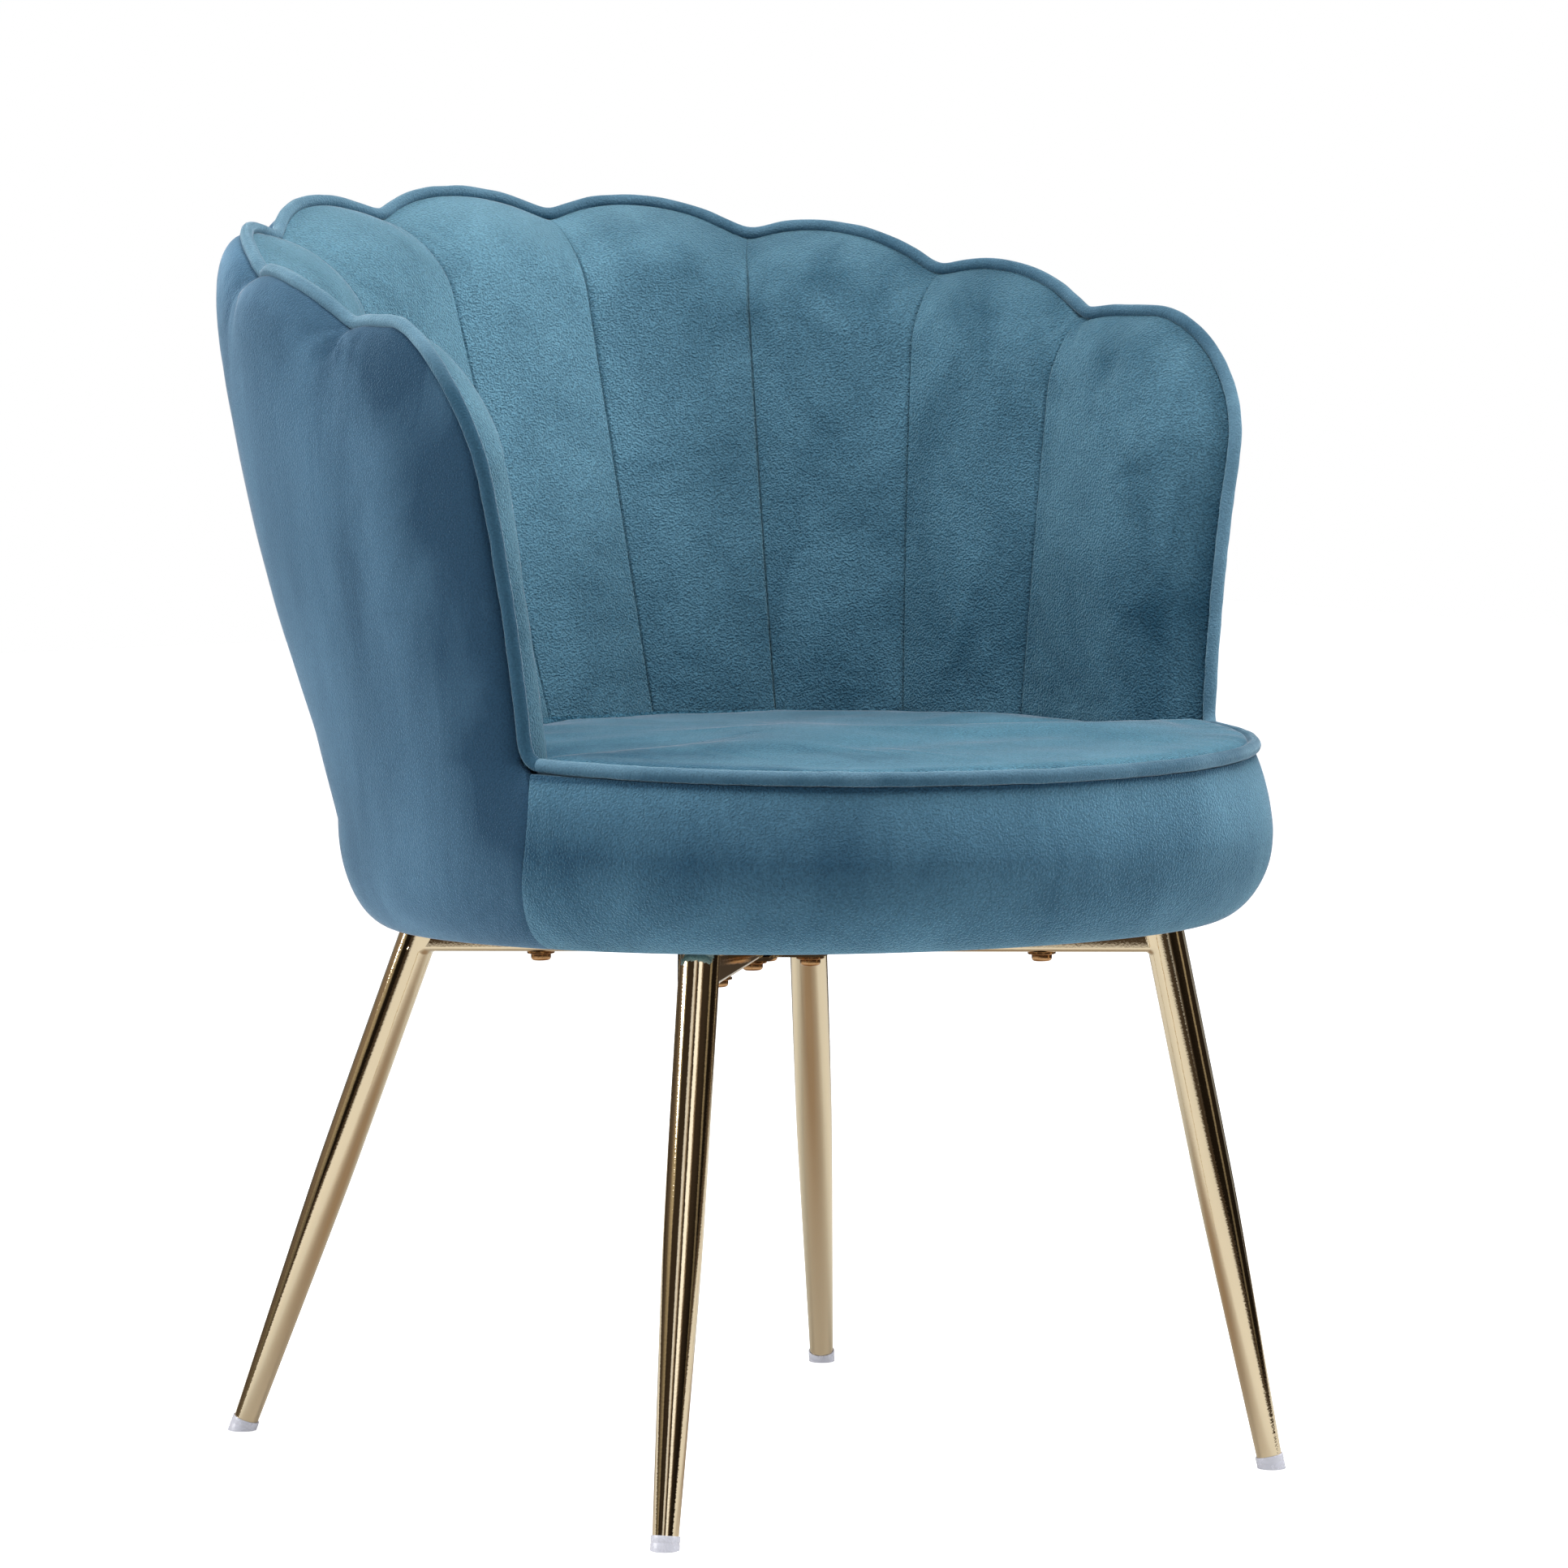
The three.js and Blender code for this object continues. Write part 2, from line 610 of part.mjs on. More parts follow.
// Stations and heights of a wing channel's grid on the right side.
function wingChannelGrid() {
  const seamTop = topHeight(lastSeam) - edgeInset;
  const seamAt = (z) => lastSeam * seamShare(z) + gap / 2;
  const seam = (v) => {
    const z = lerp(seamTop, heightOf.seat, v);
    return [seamAt(z), z];
  };
  const top = wingTopCurve(seam(0)[0]);
  const front = wingFrontCurve(heightOf.seat);
  const bottom = (u) => [lerp(seam(1)[0], front(1)[0], u), heightOf.seat];
  const columns = steps(facets.wing);
  const grid = patchGrid(top, bottom, seam, front, columns, channelRowShares);
  const frontAtBottom = bottomFrontStation - edgeInset;
  grid.push(columns.map((u) => [lerp(seamAt(heightOf.knuckle), frontAtBottom, u), heightOf.knuckle]));
  return grid;
}

const wingPetals = (u) => 3.5 + u / 2;

function wingChannel(side) {
  const grid = wingChannelGrid();
  const columns = steps(facets.wing);
  const inner = grid.map((row) => row.map(([s, z], c) => innerPoint(side * s, z, wingPetals(columns[c]))));
  const back = grid.map((row) => row.map(([s, z]) => padBackPoint(side * s, z)));
  return slabBetween(inner, back);
}

addPiece('back_channel_1', wingChannel(-1), velvet);
for (let index = -3; index <= 3; index++) {
  addPiece(`back_channel_${index + 5}`, middleChannel(index), velvet);
}
addPiece('back_channel_9', wingChannel(1), velvet);

// Outer cover of the back and sides, from the piping down to the rim under the seat.
// Its rows run from the top edge to the wing's foot, then at fixed heights down to the rim.
const coverRowShares = [0, 0.021, 0.064, 0.14, 0.42, 1];
const coverLowShares = [0, 0.42, 0.7, 0.9, 1];

// Below the widest height the rows tilt more and more, until the rim lies parallel to the seat board.
function settle(point) {
  const low = clamp((heightOf.widest - point.z) / (heightOf.widest - heightOf.rim), 0, 1);
  point.z -= Math.tan(base.tilt) * (point.y - base.pivotY) * low;
  return point;
}

function outerCover() {
  const topHalf = [];
  const half = Math.round(3.5 * facets.petal);
  for (let i = 0; i <= half; i++) {
    const s = (lastSeam * i) / half;
    topHalf.push([s, topHeight(s) - edgeInset]);
  }
  const wingTop = wingTopCurve(lastSeam);
  for (let i = 1; i <= facets.wing; i++) topHalf.push(wingTop(i / facets.wing));
  const topRow = [...topHalf.slice(1).reverse().map(([s, z]) => [-s, z]), ...topHalf];
  const last = topRow.length - 1;
  const across = steps(last);
  const pick = (row) => (u) => row[Math.round(u * last)];
  const right = wingFrontCurve(wingFootHeight);
  const left = (v) => [-right(v)[0], right(v)[1]];
  const level = (z) => {
    const end = frontStation(z) - (z < wingFootHeight ? gap : edgeInset);
    return across.map((u) => [lerp(-end, end, u), z]);
  };
  const footRow = level(wingFootHeight);
  const grid = patchGrid(pick(topRow), pick(footRow), left, right, across, coverRowShares);
  for (const share of coverLowShares) grid.push(level(lerp(heightOf.knuckle, heightOf.rim, share)));
  const outer = grid.map((row) => row.map(([s, z]) => settle(outerPoint(s, z))));
  const inner = grid.map((row) => row.map(([s, z]) => {
    return settle(corePoint(s, z).addScaledVector(outwardAt(s), softGap));
  }));
  return slabBetween(outer, inner);
}

addPiece('outer_back_cover', outerCover(), velvet);

// Bent plywood shell between the pads and the outer cover, standing on the seat board.
const boardTop = base.boardBottom + base.boardThickness;
const boardTopHeight = (y) => boardTop - Math.tan(base.tilt) * (y - base.pivotY);

function backShell() {
  const reach = frontStation(heightOf.seat) - shell.wingInset;
  const columns = steps(facets.shell);
  const rows = [0, 0.5, 1];
  const topAt = (s) => topHeight(s) - scallop.petalRise - shell.edgeInset;
  const place = (offset) => {
    const point = (s, z) => corePoint(s, z).addScaledVector(outwardAt(s), -offset);
    const upper = rows.map((v) => columns.map((u) => {
      const s = lerp(-reach, reach, u);
      return point(s, lerp(topAt(s), heightOf.knuckle, v));
    }));
    const foot = columns.map((u) => {
      const s = lerp(-reach, reach, u);
      return point(s, boardTopHeight(corePoint(s, heightOf.shellFoot).y) + softGap);
    });
    return [...upper, foot];
  };
  return slabBetween(place(softGap), place(shell.thickness));
}

addPiece('plywood_back_shell', backShell(), plywood);

// Piping along the scalloped edge and down both wing fronts.
function backPiping() {
  const line = edgeLine(facets.petal);
  line[line.length - 1][1] += 2 * gap;
  const right = line.map(([s, z]) => corePoint(s, z));
  const left = line.slice(1).map(([s, z]) => corePoint(-s, z)).reverse();
  return sweptCord([...left, ...right], facets.backPiping);
}

addPiece('back_piping', backPiping(), velvetTrim);

// Seat: a crowned pad over a foam block, with a padded apron across the front.
const wingFoot = corePoint(frontStation(wingFootHeight), wingFootHeight);
const seatStartAngle = Math.atan2(wingFoot.x, -(wingFoot.y - seat.pipingCentreY));

// Angle runs from the middle of the front, positive to the right.
function seatPipingPoint(angle, inset = 0, rise = 0) {
  const share = Math.abs(angle) / seatStartAngle;
  const radius = seat.pipingRadius - inset;
  const z = heightOf.seatPiping + seat.pipingSideRise * share ** 2 + rise;
  return v3(radius * Math.sin(angle), seat.pipingCentreY - radius * Math.cos(angle), z);
}

const pipingEndAngle = seatStartAngle - (2 * piping.radius + gap) / seat.pipingRadius;

function seatPiping() {
  const points = steps(facets.apron).map((u) => seatPipingPoint(lerp(-pipingEndAngle, pipingEndAngle, u)));
  return sweptCord(points, facets.seatPiping);
}

addPiece('seat_piping', seatPiping(), velvetTrim);

const apronWallCentreY = coreCentre(heightOf.shellFoot);

function frontApron() {
  const highRows = [0, 0.1, 0.4, 1];
  const lowRows = coverLowShares.slice(1);
  const columns = steps(facets.apron);
  const apronTop = (angle) => seatPipingPoint(angle).z - piping.radius - softGap;
  const heights = [
    ...highRows.map((v) => (share) => lerp(apronTop(share * pipingEndAngle), heightOf.knuckle, v)),
    ...lowRows.map((v) => () => lerp(heightOf.knuckle, heightOf.rim, v)),
  ];
  const place = (point) => heights.map((heightAt) => columns.map((u) => {
    const side = u < 0.5 ? -1 : 1;
    const share = Math.abs(2 * u - 1);
    return point(side, share, heightAt(share));
  }));
  const outer = place((side, share, z) => {
    const plan = outerPlan(z);
    const end = frontEdgeY(z) - gap;
    const start = Math.asin(clamp((plan.centre - end) / plan.front, -1, 1) ** (body.frontPower / 2));
    const angle = lerp(Math.PI / 2, start, share);
    const ahead = Math.sin(angle) ** (2 / body.frontPower);
    const full = v3(side * plan.radius * frontShare(ahead), plan.centre - plan.front * ahead, z);
    const line = seatPipingPoint(side * share * pipingEndAngle);
    const out = rollShare(line.z - z, pad.seatRoll);
    return settle(v3(lerp(line.x, full.x, out), Math.min(lerp(line.y, full.y, out), end), z));
  });
  const inner = place((side, share, z) => {
    const start = Math.asin((apronWallCentreY - frontEdgeY(z) + gap) / radiusOf.apronWall);
    const angle = lerp(Math.PI / 2, start, share);
    const radius = radiusOf.apronWall;
    return settle(v3(side * radius * Math.cos(angle), apronWallCentreY - radius * Math.sin(angle), z));
  });
  return slabBetween(outer, inner);
}

addPiece('front_apron', frontApron(), velvet);

// The seat cushion's rim follows the faces of the back channels and then the piping round the front.
function seatCushion() {
  const rightWing = wingChannelGrid();
  const wingColumns = steps(facets.wing);
  const atSeat = rightWing[rightWing.length - 2];
  const atBottom = rightWing[rightWing.length - 1];
  const inward = (s, z, petals) => innerPoint(s, z, petals).addScaledVector(outwardAt(s), -softGap);
  const wingRim = (row) => wingColumns.map((u, c) => {
    const point = inward(row[c][0], row[c][1], wingPetals(u));
    return u === 1 ? point.add(v3(-softGap, -softGap, 0)) : point;
  });
  const middleRim = (z) => {
    const points = [];
    for (let i = Math.round(3.5 * facets.petal) - 1; i >= 0; i--) {
      const petals = i / facets.petal;
      points.push(inward(seamStation(petals) * seamShare(z), z, petals));
    }
    return points;
  };
  const mirrored = (point) => v3(-point.x, point.y, point.z);
  const backRim = (row, z) => {
    const right = [...wingRim(row).reverse(), ...middleRim(z)];
    return [...right, ...right.slice(0, -1).reverse().map(mirrored)];
  };
  const lowRim = backRim(atBottom, heightOf.knuckle);
  const highRim = backRim(atSeat, heightOf.seat);
  const backRing = (z) => {
    const share = (z - heightOf.knuckle) / (heightOf.seat - heightOf.knuckle);
    return lowRim.map((point, i) => point.clone().lerp(highRim[i], share));
  };
  const frontAngles = steps(facets.seatFront).map((u) => lerp(-pipingEndAngle, pipingEndAngle, u));
  const wallRing = (heightAt) => frontAngles.map((angle) => {
    const radius = radiusOf.apronWall - softGap;
    const wallEnd = scallop.wingFrontSeat - piping.radius + softGap;
    const limit = Math.acos((apronWallCentreY + wallEnd) / radius);
    const turn = (angle / pipingEndAngle) * limit;
    return v3(radius * Math.sin(turn), apronWallCentreY - radius * Math.cos(turn), heightAt(angle));
  });
  const flange = (rise) => frontAngles.map((angle) => seatPipingPoint(angle, edgeInset, rise));
  const backUnder = heightOf.backRim - piping.radius;
  const rim = [...backRing(heightOf.backRim), ...flange(piping.radius * seat.rimTopShare)];
  const crownRing = (r) => rim.map((point) => {
    const rise = seat.crown * (1 - r ** seat.crownPower);
    const onRim = v3(0, seat.centreY, heightOf.backRim).lerp(point, r);
    return onRim.add(v3(0, 0, rise));
  });
  const rings = [
    [...backRing(heightOf.knuckle), ...wallRing(() => heightOf.knuckle)],
    [...backRing(backUnder), ...wallRing((angle) => seatPipingPoint(angle).z - piping.radius)],
    [...backRing(backUnder + gap), ...flange(-piping.radius)],
    rim,
    crownRing(0.93),
    crownRing(0.8),
    crownRing(0.6),
    crownRing(0.32),
  ];
  const top = v3(0, seat.centreY, heightOf.backRim + seat.crown);
  return stackOfRings(rings, v3(0, seat.centreY, heightOf.knuckle), top);
}

addPiece('seat_cushion', seatCushion(), velvet);

// Everything on the seat board's plane leans with it.
const tilted = new THREE.Group();
tilted.position.set(0, base.pivotY, base.boardBottom);
tilted.rotation.x = -base.tilt;
chair.add(tilted);
tilted.updateMatrix();
const toTilted = tilted.matrix.clone().invert();

// Fastener places on the board, in the tilted group's own plane: [x, y] from the pivot.
const legTop = (side, front) => front
  ? v3(side * topOf.frontX, -topOf.frontY, heightOf.legPlan)
  : v3(side * topOf.backX, topOf.backY, heightOf.legPlan);
const legFoot = (side, front) => front
  ? v3(side * footOf.frontX, -footOf.frontY, 0)
  : v3(side * footOf.backX, footOf.backY, 0);
const legPointAt = (side, front, z) => {
  return legFoot(side, front).lerp(legTop(side, front), z / heightOf.legPlan);
};
const barEnd = (side, front) => {
  return legPointAt(side, front, heightOf.backLegTop - bar.height / 2).applyMatrix4(toTilted);
};
const legTopHeight = (front) => (front ? heightOf.frontLegTop : heightOf.backLegTop);

const barEnds = [
  { name: 'long', from: barEnd(-1, false), to: barEnd(1, true) },
  { name: 'short', from: barEnd(-1, true), to: barEnd(1, false) },
];
const [long, short] = barEnds;
const crossingShare = -long.from.x / (long.to.x - long.from.x);
const barCrossing = v3(0, lerp(long.from.y, long.to.y, crossingShare), 0);

const boltPlaces = [];
for (const { from, to } of barEnds) {
  const along = v3(to.x - from.x, to.y - from.y, 0);
  const unit = along.clone().normalize();
  for (const share of [bar.outerBoltShare, 1 - bar.outerBoltShare]) {
    boltPlaces.push({ x: from.x + along.x * share, y: from.y + along.y * share, onPlate: false });
  }
  for (const side of [-1, 1]) {
    const spot = barCrossing.clone().addScaledVector(unit, side * plate.boltOffset);
    boltPlaces.push({ x: spot.x, y: spot.y, onPlate: true });
  }
}

const post = (place, radius, low, high) => {
  return turned(discProfile(radius, low, high), facets.smallSides).translate(place.x, place.y, 0);
};

// Seat board with a hole for every nut barrel, and the dust cover below it.
const boardCentre = v3(0, apronWallCentreY - base.pivotY, 0);
const boardDisc = turned(discProfile(radiusOf.board, 0, base.boardThickness), facets.discSides)
  .translate(boardCentre.x, boardCentre.y, 0);
const nutHoles = boltPlaces.map((place) => {
  return post(place, nut.barrelRadius + gap, -cutOverrun, base.boardThickness + cutOverrun);
});
addPiece('seat_board', cutAway(boardDisc, ...nutHoles), plywood, tilted);

const coverTop = -gap;
const coverBottom = coverTop - base.coverThickness;
const coverProfile = discProfile(radiusOf.board - base.coverInset, coverBottom, coverTop);
const coverDisc = turned(coverProfile, facets.discSides).translate(boardCentre.x, boardCentre.y, 0);
const coverHoles = boltPlaces.map((place) => {
  return post(place, bar.holeRadius, coverBottom - cutOverrun, cutOverrun);
});
addPiece('dust_cover', cutAway(coverDisc, ...coverHoles), liner, tilted);

// Glue blocks that hold the plywood shell on the board.
const blockAngles = [-75, -28, 28, 75].map((degrees) => THREE.MathUtils.degToRad(degrees));
const blockNames = ['block_left', 'block_back_left', 'block_back_right', 'block_right'];
const blockRadius = coreRadius(heightOf.shellFoot) - shell.thickness - softGap * 3 - base.blockDepth / 2;
const blockBottom = base.boardThickness + gap;

function glueBlock(angle, grow) {
  const width = base.blockWidth + 2 * grow;
  const depth = base.blockDepth + 2 * grow;
  const box = new THREE.BoxGeometry(width, depth, base.blockHeight + 2 * grow);
  const y = coreCentre(heightOf.shellFoot) - base.pivotY;
  return box.translate(0, 0, blockBottom + base.blockHeight / 2).rotateZ(-angle)
    .translate(blockRadius * Math.sin(angle), y + blockRadius * Math.cos(angle), 0);
}

blockAngles.forEach((angle, i) => addPiece(blockNames[i], glueBlock(angle, 0), plywood, tilted));

// Foam block, cut to the tilted board, the nuts and the glue blocks.
const foamHeight = heightOf.knuckle - softGap;
const foamDisc = turned(discProfile(radiusOf.foam, heightOf.rim, foamHeight), facets.discSides)
  .translate(0, apronWallCentreY, 0);
const boardSpan = 4 * radiusOf.foam;
const belowBoardTop = new THREE.BoxGeometry(boardSpan, boardSpan, 2 * base.boardThickness + 2 * gap)
  .applyMatrix4(tilted.matrix);
const nutTop = base.boardThickness + nut.flangeThickness + 2 * gap;
const nutPockets = boltPlaces.map((place) => {
  return post(place, nut.flangeRadius + gap, 0, nutTop).applyMatrix4(tilted.matrix);
});
const blockPockets = blockAngles.map((angle) => glueBlock(angle, softGap).applyMatrix4(tilted.matrix));
addPiece('seat_foam', cutAway(foamDisc, belowBoardTop, ...nutPockets, ...blockPockets), foam);

// Legs: straight tube above, tapered to the foot below, closed by a clear cap.
const legPieces = [
  { name: 'front_left', side: -1, front: true },
  { name: 'front_right', side: 1, front: true },
  { name: 'back_left', side: -1, front: false },
  { name: 'back_right', side: 1, front: false },
];

function legTube(side, front) {
  const foot = legFoot(side, front);
  const top = legPointAt(side, front, legTopHeight(front));
  const length = top.distanceTo(foot);
  const perHeight = length / legTopHeight(front);
  const low = leg.footHeight * perHeight;
  const taper = leg.taperHeight * perHeight;
  const profile = [
    [leg.footRadius - leg.wall, low], [leg.footRadius, low], [leg.radius, taper], [leg.radius, length],
    [leg.radius - leg.wall, length], [leg.radius - leg.wall, taper], [leg.footRadius - leg.wall, low],
  ];
  return alongAxis(turned(profile, facets.legSides), foot, top);
}

function footCap(side, front) {
  const foot = legFoot(side, front);
  const top = legPointAt(side, front, legTopHeight(front));
  const perHeight = top.distanceTo(foot) / legTopHeight(front);
  const seatLevel = leg.footHeight * perHeight - gap;
  const profile = [
    [0, -cap.height], [cap.radius, -cap.height], [cap.radius, cap.height],
    [leg.footRadius + gap, cap.height], [leg.footRadius + gap, seatLevel],
    [cap.plugRadius, seatLevel], [cap.plugRadius, cap.plugHeight], [0, cap.plugHeight],
  ];
  const whole = alongAxis(turned(profile, facets.legSides), foot, top);
  const size = 4 * cap.height;
  const underFloor = new THREE.BoxGeometry(size, size, size).translate(foot.x, foot.y, -size / 2);
  return cutAway(whole, underFloor);
}

for (const { name, side, front } of legPieces) {
  addPiece(`leg_${name}`, legTube(side, front), gold);
  addPiece(`foot_cap_${name}`, footCap(side, front), clearPlastic);
}

// Cross bars: rounded rectangular tubes, coped to the legs. One runs through,
// and the other is in two halves.
const barTop = -base.coverThickness - 2 * gap;
const barMiddle = barTop - bar.height / 2;

function roundedRect(width, height, corner) {
  const shape = new THREE.Shape();
  const x = width / 2;
  const y = height / 2;
  shape.moveTo(-x + corner, -y);
  shape.lineTo(x - corner, -y);
  shape.absarc(x - corner, -y + corner, corner, -Math.PI / 2, 0, false);
  shape.lineTo(x, y - corner);
  shape.absarc(x - corner, y - corner, corner, 0, Math.PI / 2, false);
  shape.lineTo(-x + corner, y);
  shape.absarc(-x + corner, y - corner, corner, Math.PI / 2, Math.PI, false);
  shape.lineTo(-x, -y + corner);
  shape.absarc(-x + corner, -y + corner, corner, Math.PI, 1.5 * Math.PI, false);
  return shape;
}

function barTube(from, to) {
  const length = Math.hypot(to.x - from.x, to.y - from.y);
  const shape = roundedRect(bar.width, bar.height, bar.corner);
  const bore = roundedRect(bar.width - 2 * bar.wall, bar.height - 2 * bar.wall, bar.corner - bar.wall);
  shape.holes.push(bore);
  const settings = { depth: length, bevelEnabled: false, curveSegments: facets.barCorner };
  const tube = new THREE.ExtrudeGeometry(shape, settings);
  const turn = Math.atan2(to.y - from.y, to.x - from.x) + Math.PI / 2;
  return tube.rotateX(Math.PI / 2).rotateZ(turn).translate(from.x, from.y, barMiddle);
}

function legCutter(side, front) {
  const foot = legFoot(side, front);
  const top = legPointAt(side, front, legTopHeight(front));
  const length = top.distanceTo(foot);
  const profile = discProfile(leg.radius + gap, length / 2, length + 4 * cutOverrun);
  const whole = turned(profile, facets.legSides);
  return alongAxis(whole, foot, top).applyMatrix4(toTilted);
}

const barHoles = boltPlaces.map((place) => {
  return post(place, bar.holeRadius, barTop - bar.height - cutOverrun, barTop + cutOverrun);
});
const longCutters = [legCutter(-1, false), legCutter(1, true), ...barHoles];
const longBar = cutAway(barTube(long.from, long.to), ...longCutters);
addPiece('cross_bar_long', longBar, gold, tilted);

// Everything past the middle line of the long bar's near side is cut from a half bar.
function halfBar(keepFront) {
  const angle = Math.atan2(long.to.y - long.from.y, long.to.x - long.from.x);
  const span = 3 * heightOf.legPlan;
  const away = keepFront ? 1 : -1;
  const keepOut = new THREE.BoxGeometry(span, span, span)
    .translate(0, away * (span / 2 - bar.width / 2 - gap), 0)
    .rotateZ(angle)
    .translate(barCrossing.x, barCrossing.y, 0);
  const cutter = keepFront ? legCutter(-1, true) : legCutter(1, false);
  return cutAway(barTube(short.from, short.to), keepOut, cutter, ...barHoles);
}

addPiece('cross_bar_front_half', halfBar(true), gold, tilted);
addPiece('cross_bar_back_half', halfBar(false), gold, tilted);

// Cross-shaped plate under the middle.
const plateTop = barTop - bar.height - gap;

function centrePlate() {
  const arm = (from, to) => {
    const angle = Math.atan2(to.y - from.y, to.x - from.x);
    const slab = new THREE.BoxGeometry(2 * plate.arm, plate.width, plate.thickness);
    slab.translate(0, 0, plateTop - plate.thickness / 2).rotateZ(angle);
    return slab.translate(barCrossing.x, barCrossing.y, 0);
  };
  const cross = toManifold(arm(long.from, long.to)).add(toManifold(arm(short.from, short.to)));
  return cutAway(fromManifold(cross), ...barHoles);
}

addPiece('centre_plate', centrePlate(), gold, tilted);

// Bolts, washers and T-nuts.
boltPlaces.forEach((place, i) => {
  const under = place.onPlate ? plateTop - plate.thickness : barTop - bar.height;
  const washerTop = under - gap;
  const headTop = washerTop - washer.thickness - gap;
  const low = headTop - bolt.headHeight;
  const tip = base.boardThickness - bolt.tipAllowance + nut.length / 2;
  const edge = bolt.headHeight / 4;
  const boltShape = [
    [0, low + bolt.socketDepth], [bolt.socketRadius, low + bolt.socketDepth], [bolt.socketRadius, low],
    [bolt.headRadius - edge, low], [bolt.headRadius, low + edge], [bolt.headRadius, headTop],
    [bolt.radius, headTop], [bolt.radius, tip], [0, tip],
  ];
  const turnedHere = (shape) => turned(shape, facets.smallSides).translate(place.x, place.y, 0);
  addPiece(`bolt_${i + 1}`, turnedHere(boltShape), brassBolt, tilted);
  const washerLow = washerTop - washer.thickness;
  const washerShape = ringProfile(washer.holeRadius, washer.radius, washerLow, washerTop);
  addPiece(`washer_${i + 1}`, turnedHere(washerShape), brassBolt, tilted);
  const flangeLow = base.boardThickness + gap;
  const flangeHigh = flangeLow + nut.flangeThickness;
  const barrelLow = flangeLow - nut.length;
  const nutShape = [
    [bolt.radius + gap, barrelLow], [nut.barrelRadius, barrelLow], [nut.barrelRadius, flangeLow],
    [nut.flangeRadius, flangeLow], [nut.flangeRadius, flangeHigh], [bolt.radius + gap, flangeHigh],
    [bolt.radius + gap, barrelLow],
  ];
  addPiece(`t_nut_${i + 1}`, turnedHere(nutShape), zinc, tilted);
});

// The origin is on the floor under the middle of the whole chair.
chair.updateMatrixWorld(true);
const extent = new THREE.Box3().setFromObject(chair, true);
const middle = extent.getCenter(new THREE.Vector3());
chair.position.set(-middle.x, -middle.y, -extent.min.z);

export default chair;
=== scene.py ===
# %% [markdown]
# # A scallop back chair, dressed from its CAD frame
# The chair is a padded tub with nine sewn channels, a scalloped edge with piping, a round
# piped seat and polished gold tube legs. Each cell below makes one piece or one finish.
# The CAD model is loaded first and never moved: it says where every piece belongs, in metres,
# so nothing has to be fitted by eye later on.

# %% Load the frame
import math
import time
import bmesh
import bpy
import numpy as np
from mathutils import Matrix, Vector
from mathutils.kdtree import KDTree


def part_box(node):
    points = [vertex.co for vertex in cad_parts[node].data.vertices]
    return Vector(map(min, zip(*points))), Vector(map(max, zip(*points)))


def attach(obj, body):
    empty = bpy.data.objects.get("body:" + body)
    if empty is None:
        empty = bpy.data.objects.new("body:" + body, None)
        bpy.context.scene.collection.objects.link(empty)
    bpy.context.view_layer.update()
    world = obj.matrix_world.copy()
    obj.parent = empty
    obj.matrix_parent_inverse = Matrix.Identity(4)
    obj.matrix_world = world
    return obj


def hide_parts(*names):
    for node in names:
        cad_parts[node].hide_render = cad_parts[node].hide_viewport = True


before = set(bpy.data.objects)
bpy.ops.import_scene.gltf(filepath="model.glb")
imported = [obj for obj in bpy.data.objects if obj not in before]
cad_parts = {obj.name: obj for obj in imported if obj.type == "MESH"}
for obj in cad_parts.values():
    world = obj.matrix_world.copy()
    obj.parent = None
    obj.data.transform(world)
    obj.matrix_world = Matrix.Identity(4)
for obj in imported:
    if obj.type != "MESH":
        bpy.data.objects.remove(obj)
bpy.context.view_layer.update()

# %% [markdown]
# ## The camera
# The photograph was taken with a long lens from the front left, a little above the seat.
# A long lens far away keeps the legs nearly parallel. The place and the focal length were
# worked out from the feet and the seat of the chair in the picture, and the small shift puts
# the lens axis where the picture's middle lies.

# %% Camera
PICTURE = 1932                   # pixels along each side of the photograph
LOOK_DOWN, LOOK_ROUND = 4.965, -35.07    # degrees
FOAM_MIDDLE_Y = -55.23           # mm in the CAD part's own numbers; the frame is centred anew
shift_back = (sum(corner[1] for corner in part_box("seat_foam")) / 2) * 1000 - FOAM_MIDDLE_Y


def add_object(name, data):
    made = bpy.data.objects.new(name, data)
    bpy.context.scene.collection.objects.link(made)
    return made


camera_data = bpy.data.cameras.new("photo_camera")
camera_data.sensor_width = 36
camera_data.lens = 160.26
camera_data.shift_x, camera_data.shift_y = 2 / PICTURE, 3.3 / PICTURE
camera_data.clip_start, camera_data.clip_end = 0.05, 60
camera = add_object("photo_camera", camera_data)
camera.location = (-2.5522, -3.6700 + shift_back / 1000, 0.8192)
camera.rotation_euler = (math.radians(90 - LOOK_DOWN), 0, math.radians(LOOK_ROUND))
bpy.context.scene.camera = camera
bpy.context.scene.view_settings.view_transform = "Standard"
print("camera at", [round(c, 3) for c in camera.location],
      "frame shift in mm", round(shift_back, 3))

# %% [markdown]
# ## The heights and the piping line
# Upholsterers hang everything on one seam, and so does this file: the piping line is drawn on
# an upright shell, measured by a length along it (the station, from the middle of the back)
# and a height. Numbers are in millimetres, as on a workshop drawing, and become metres at the
# very end. Working on whole numpy arrays keeps fine meshes quick.

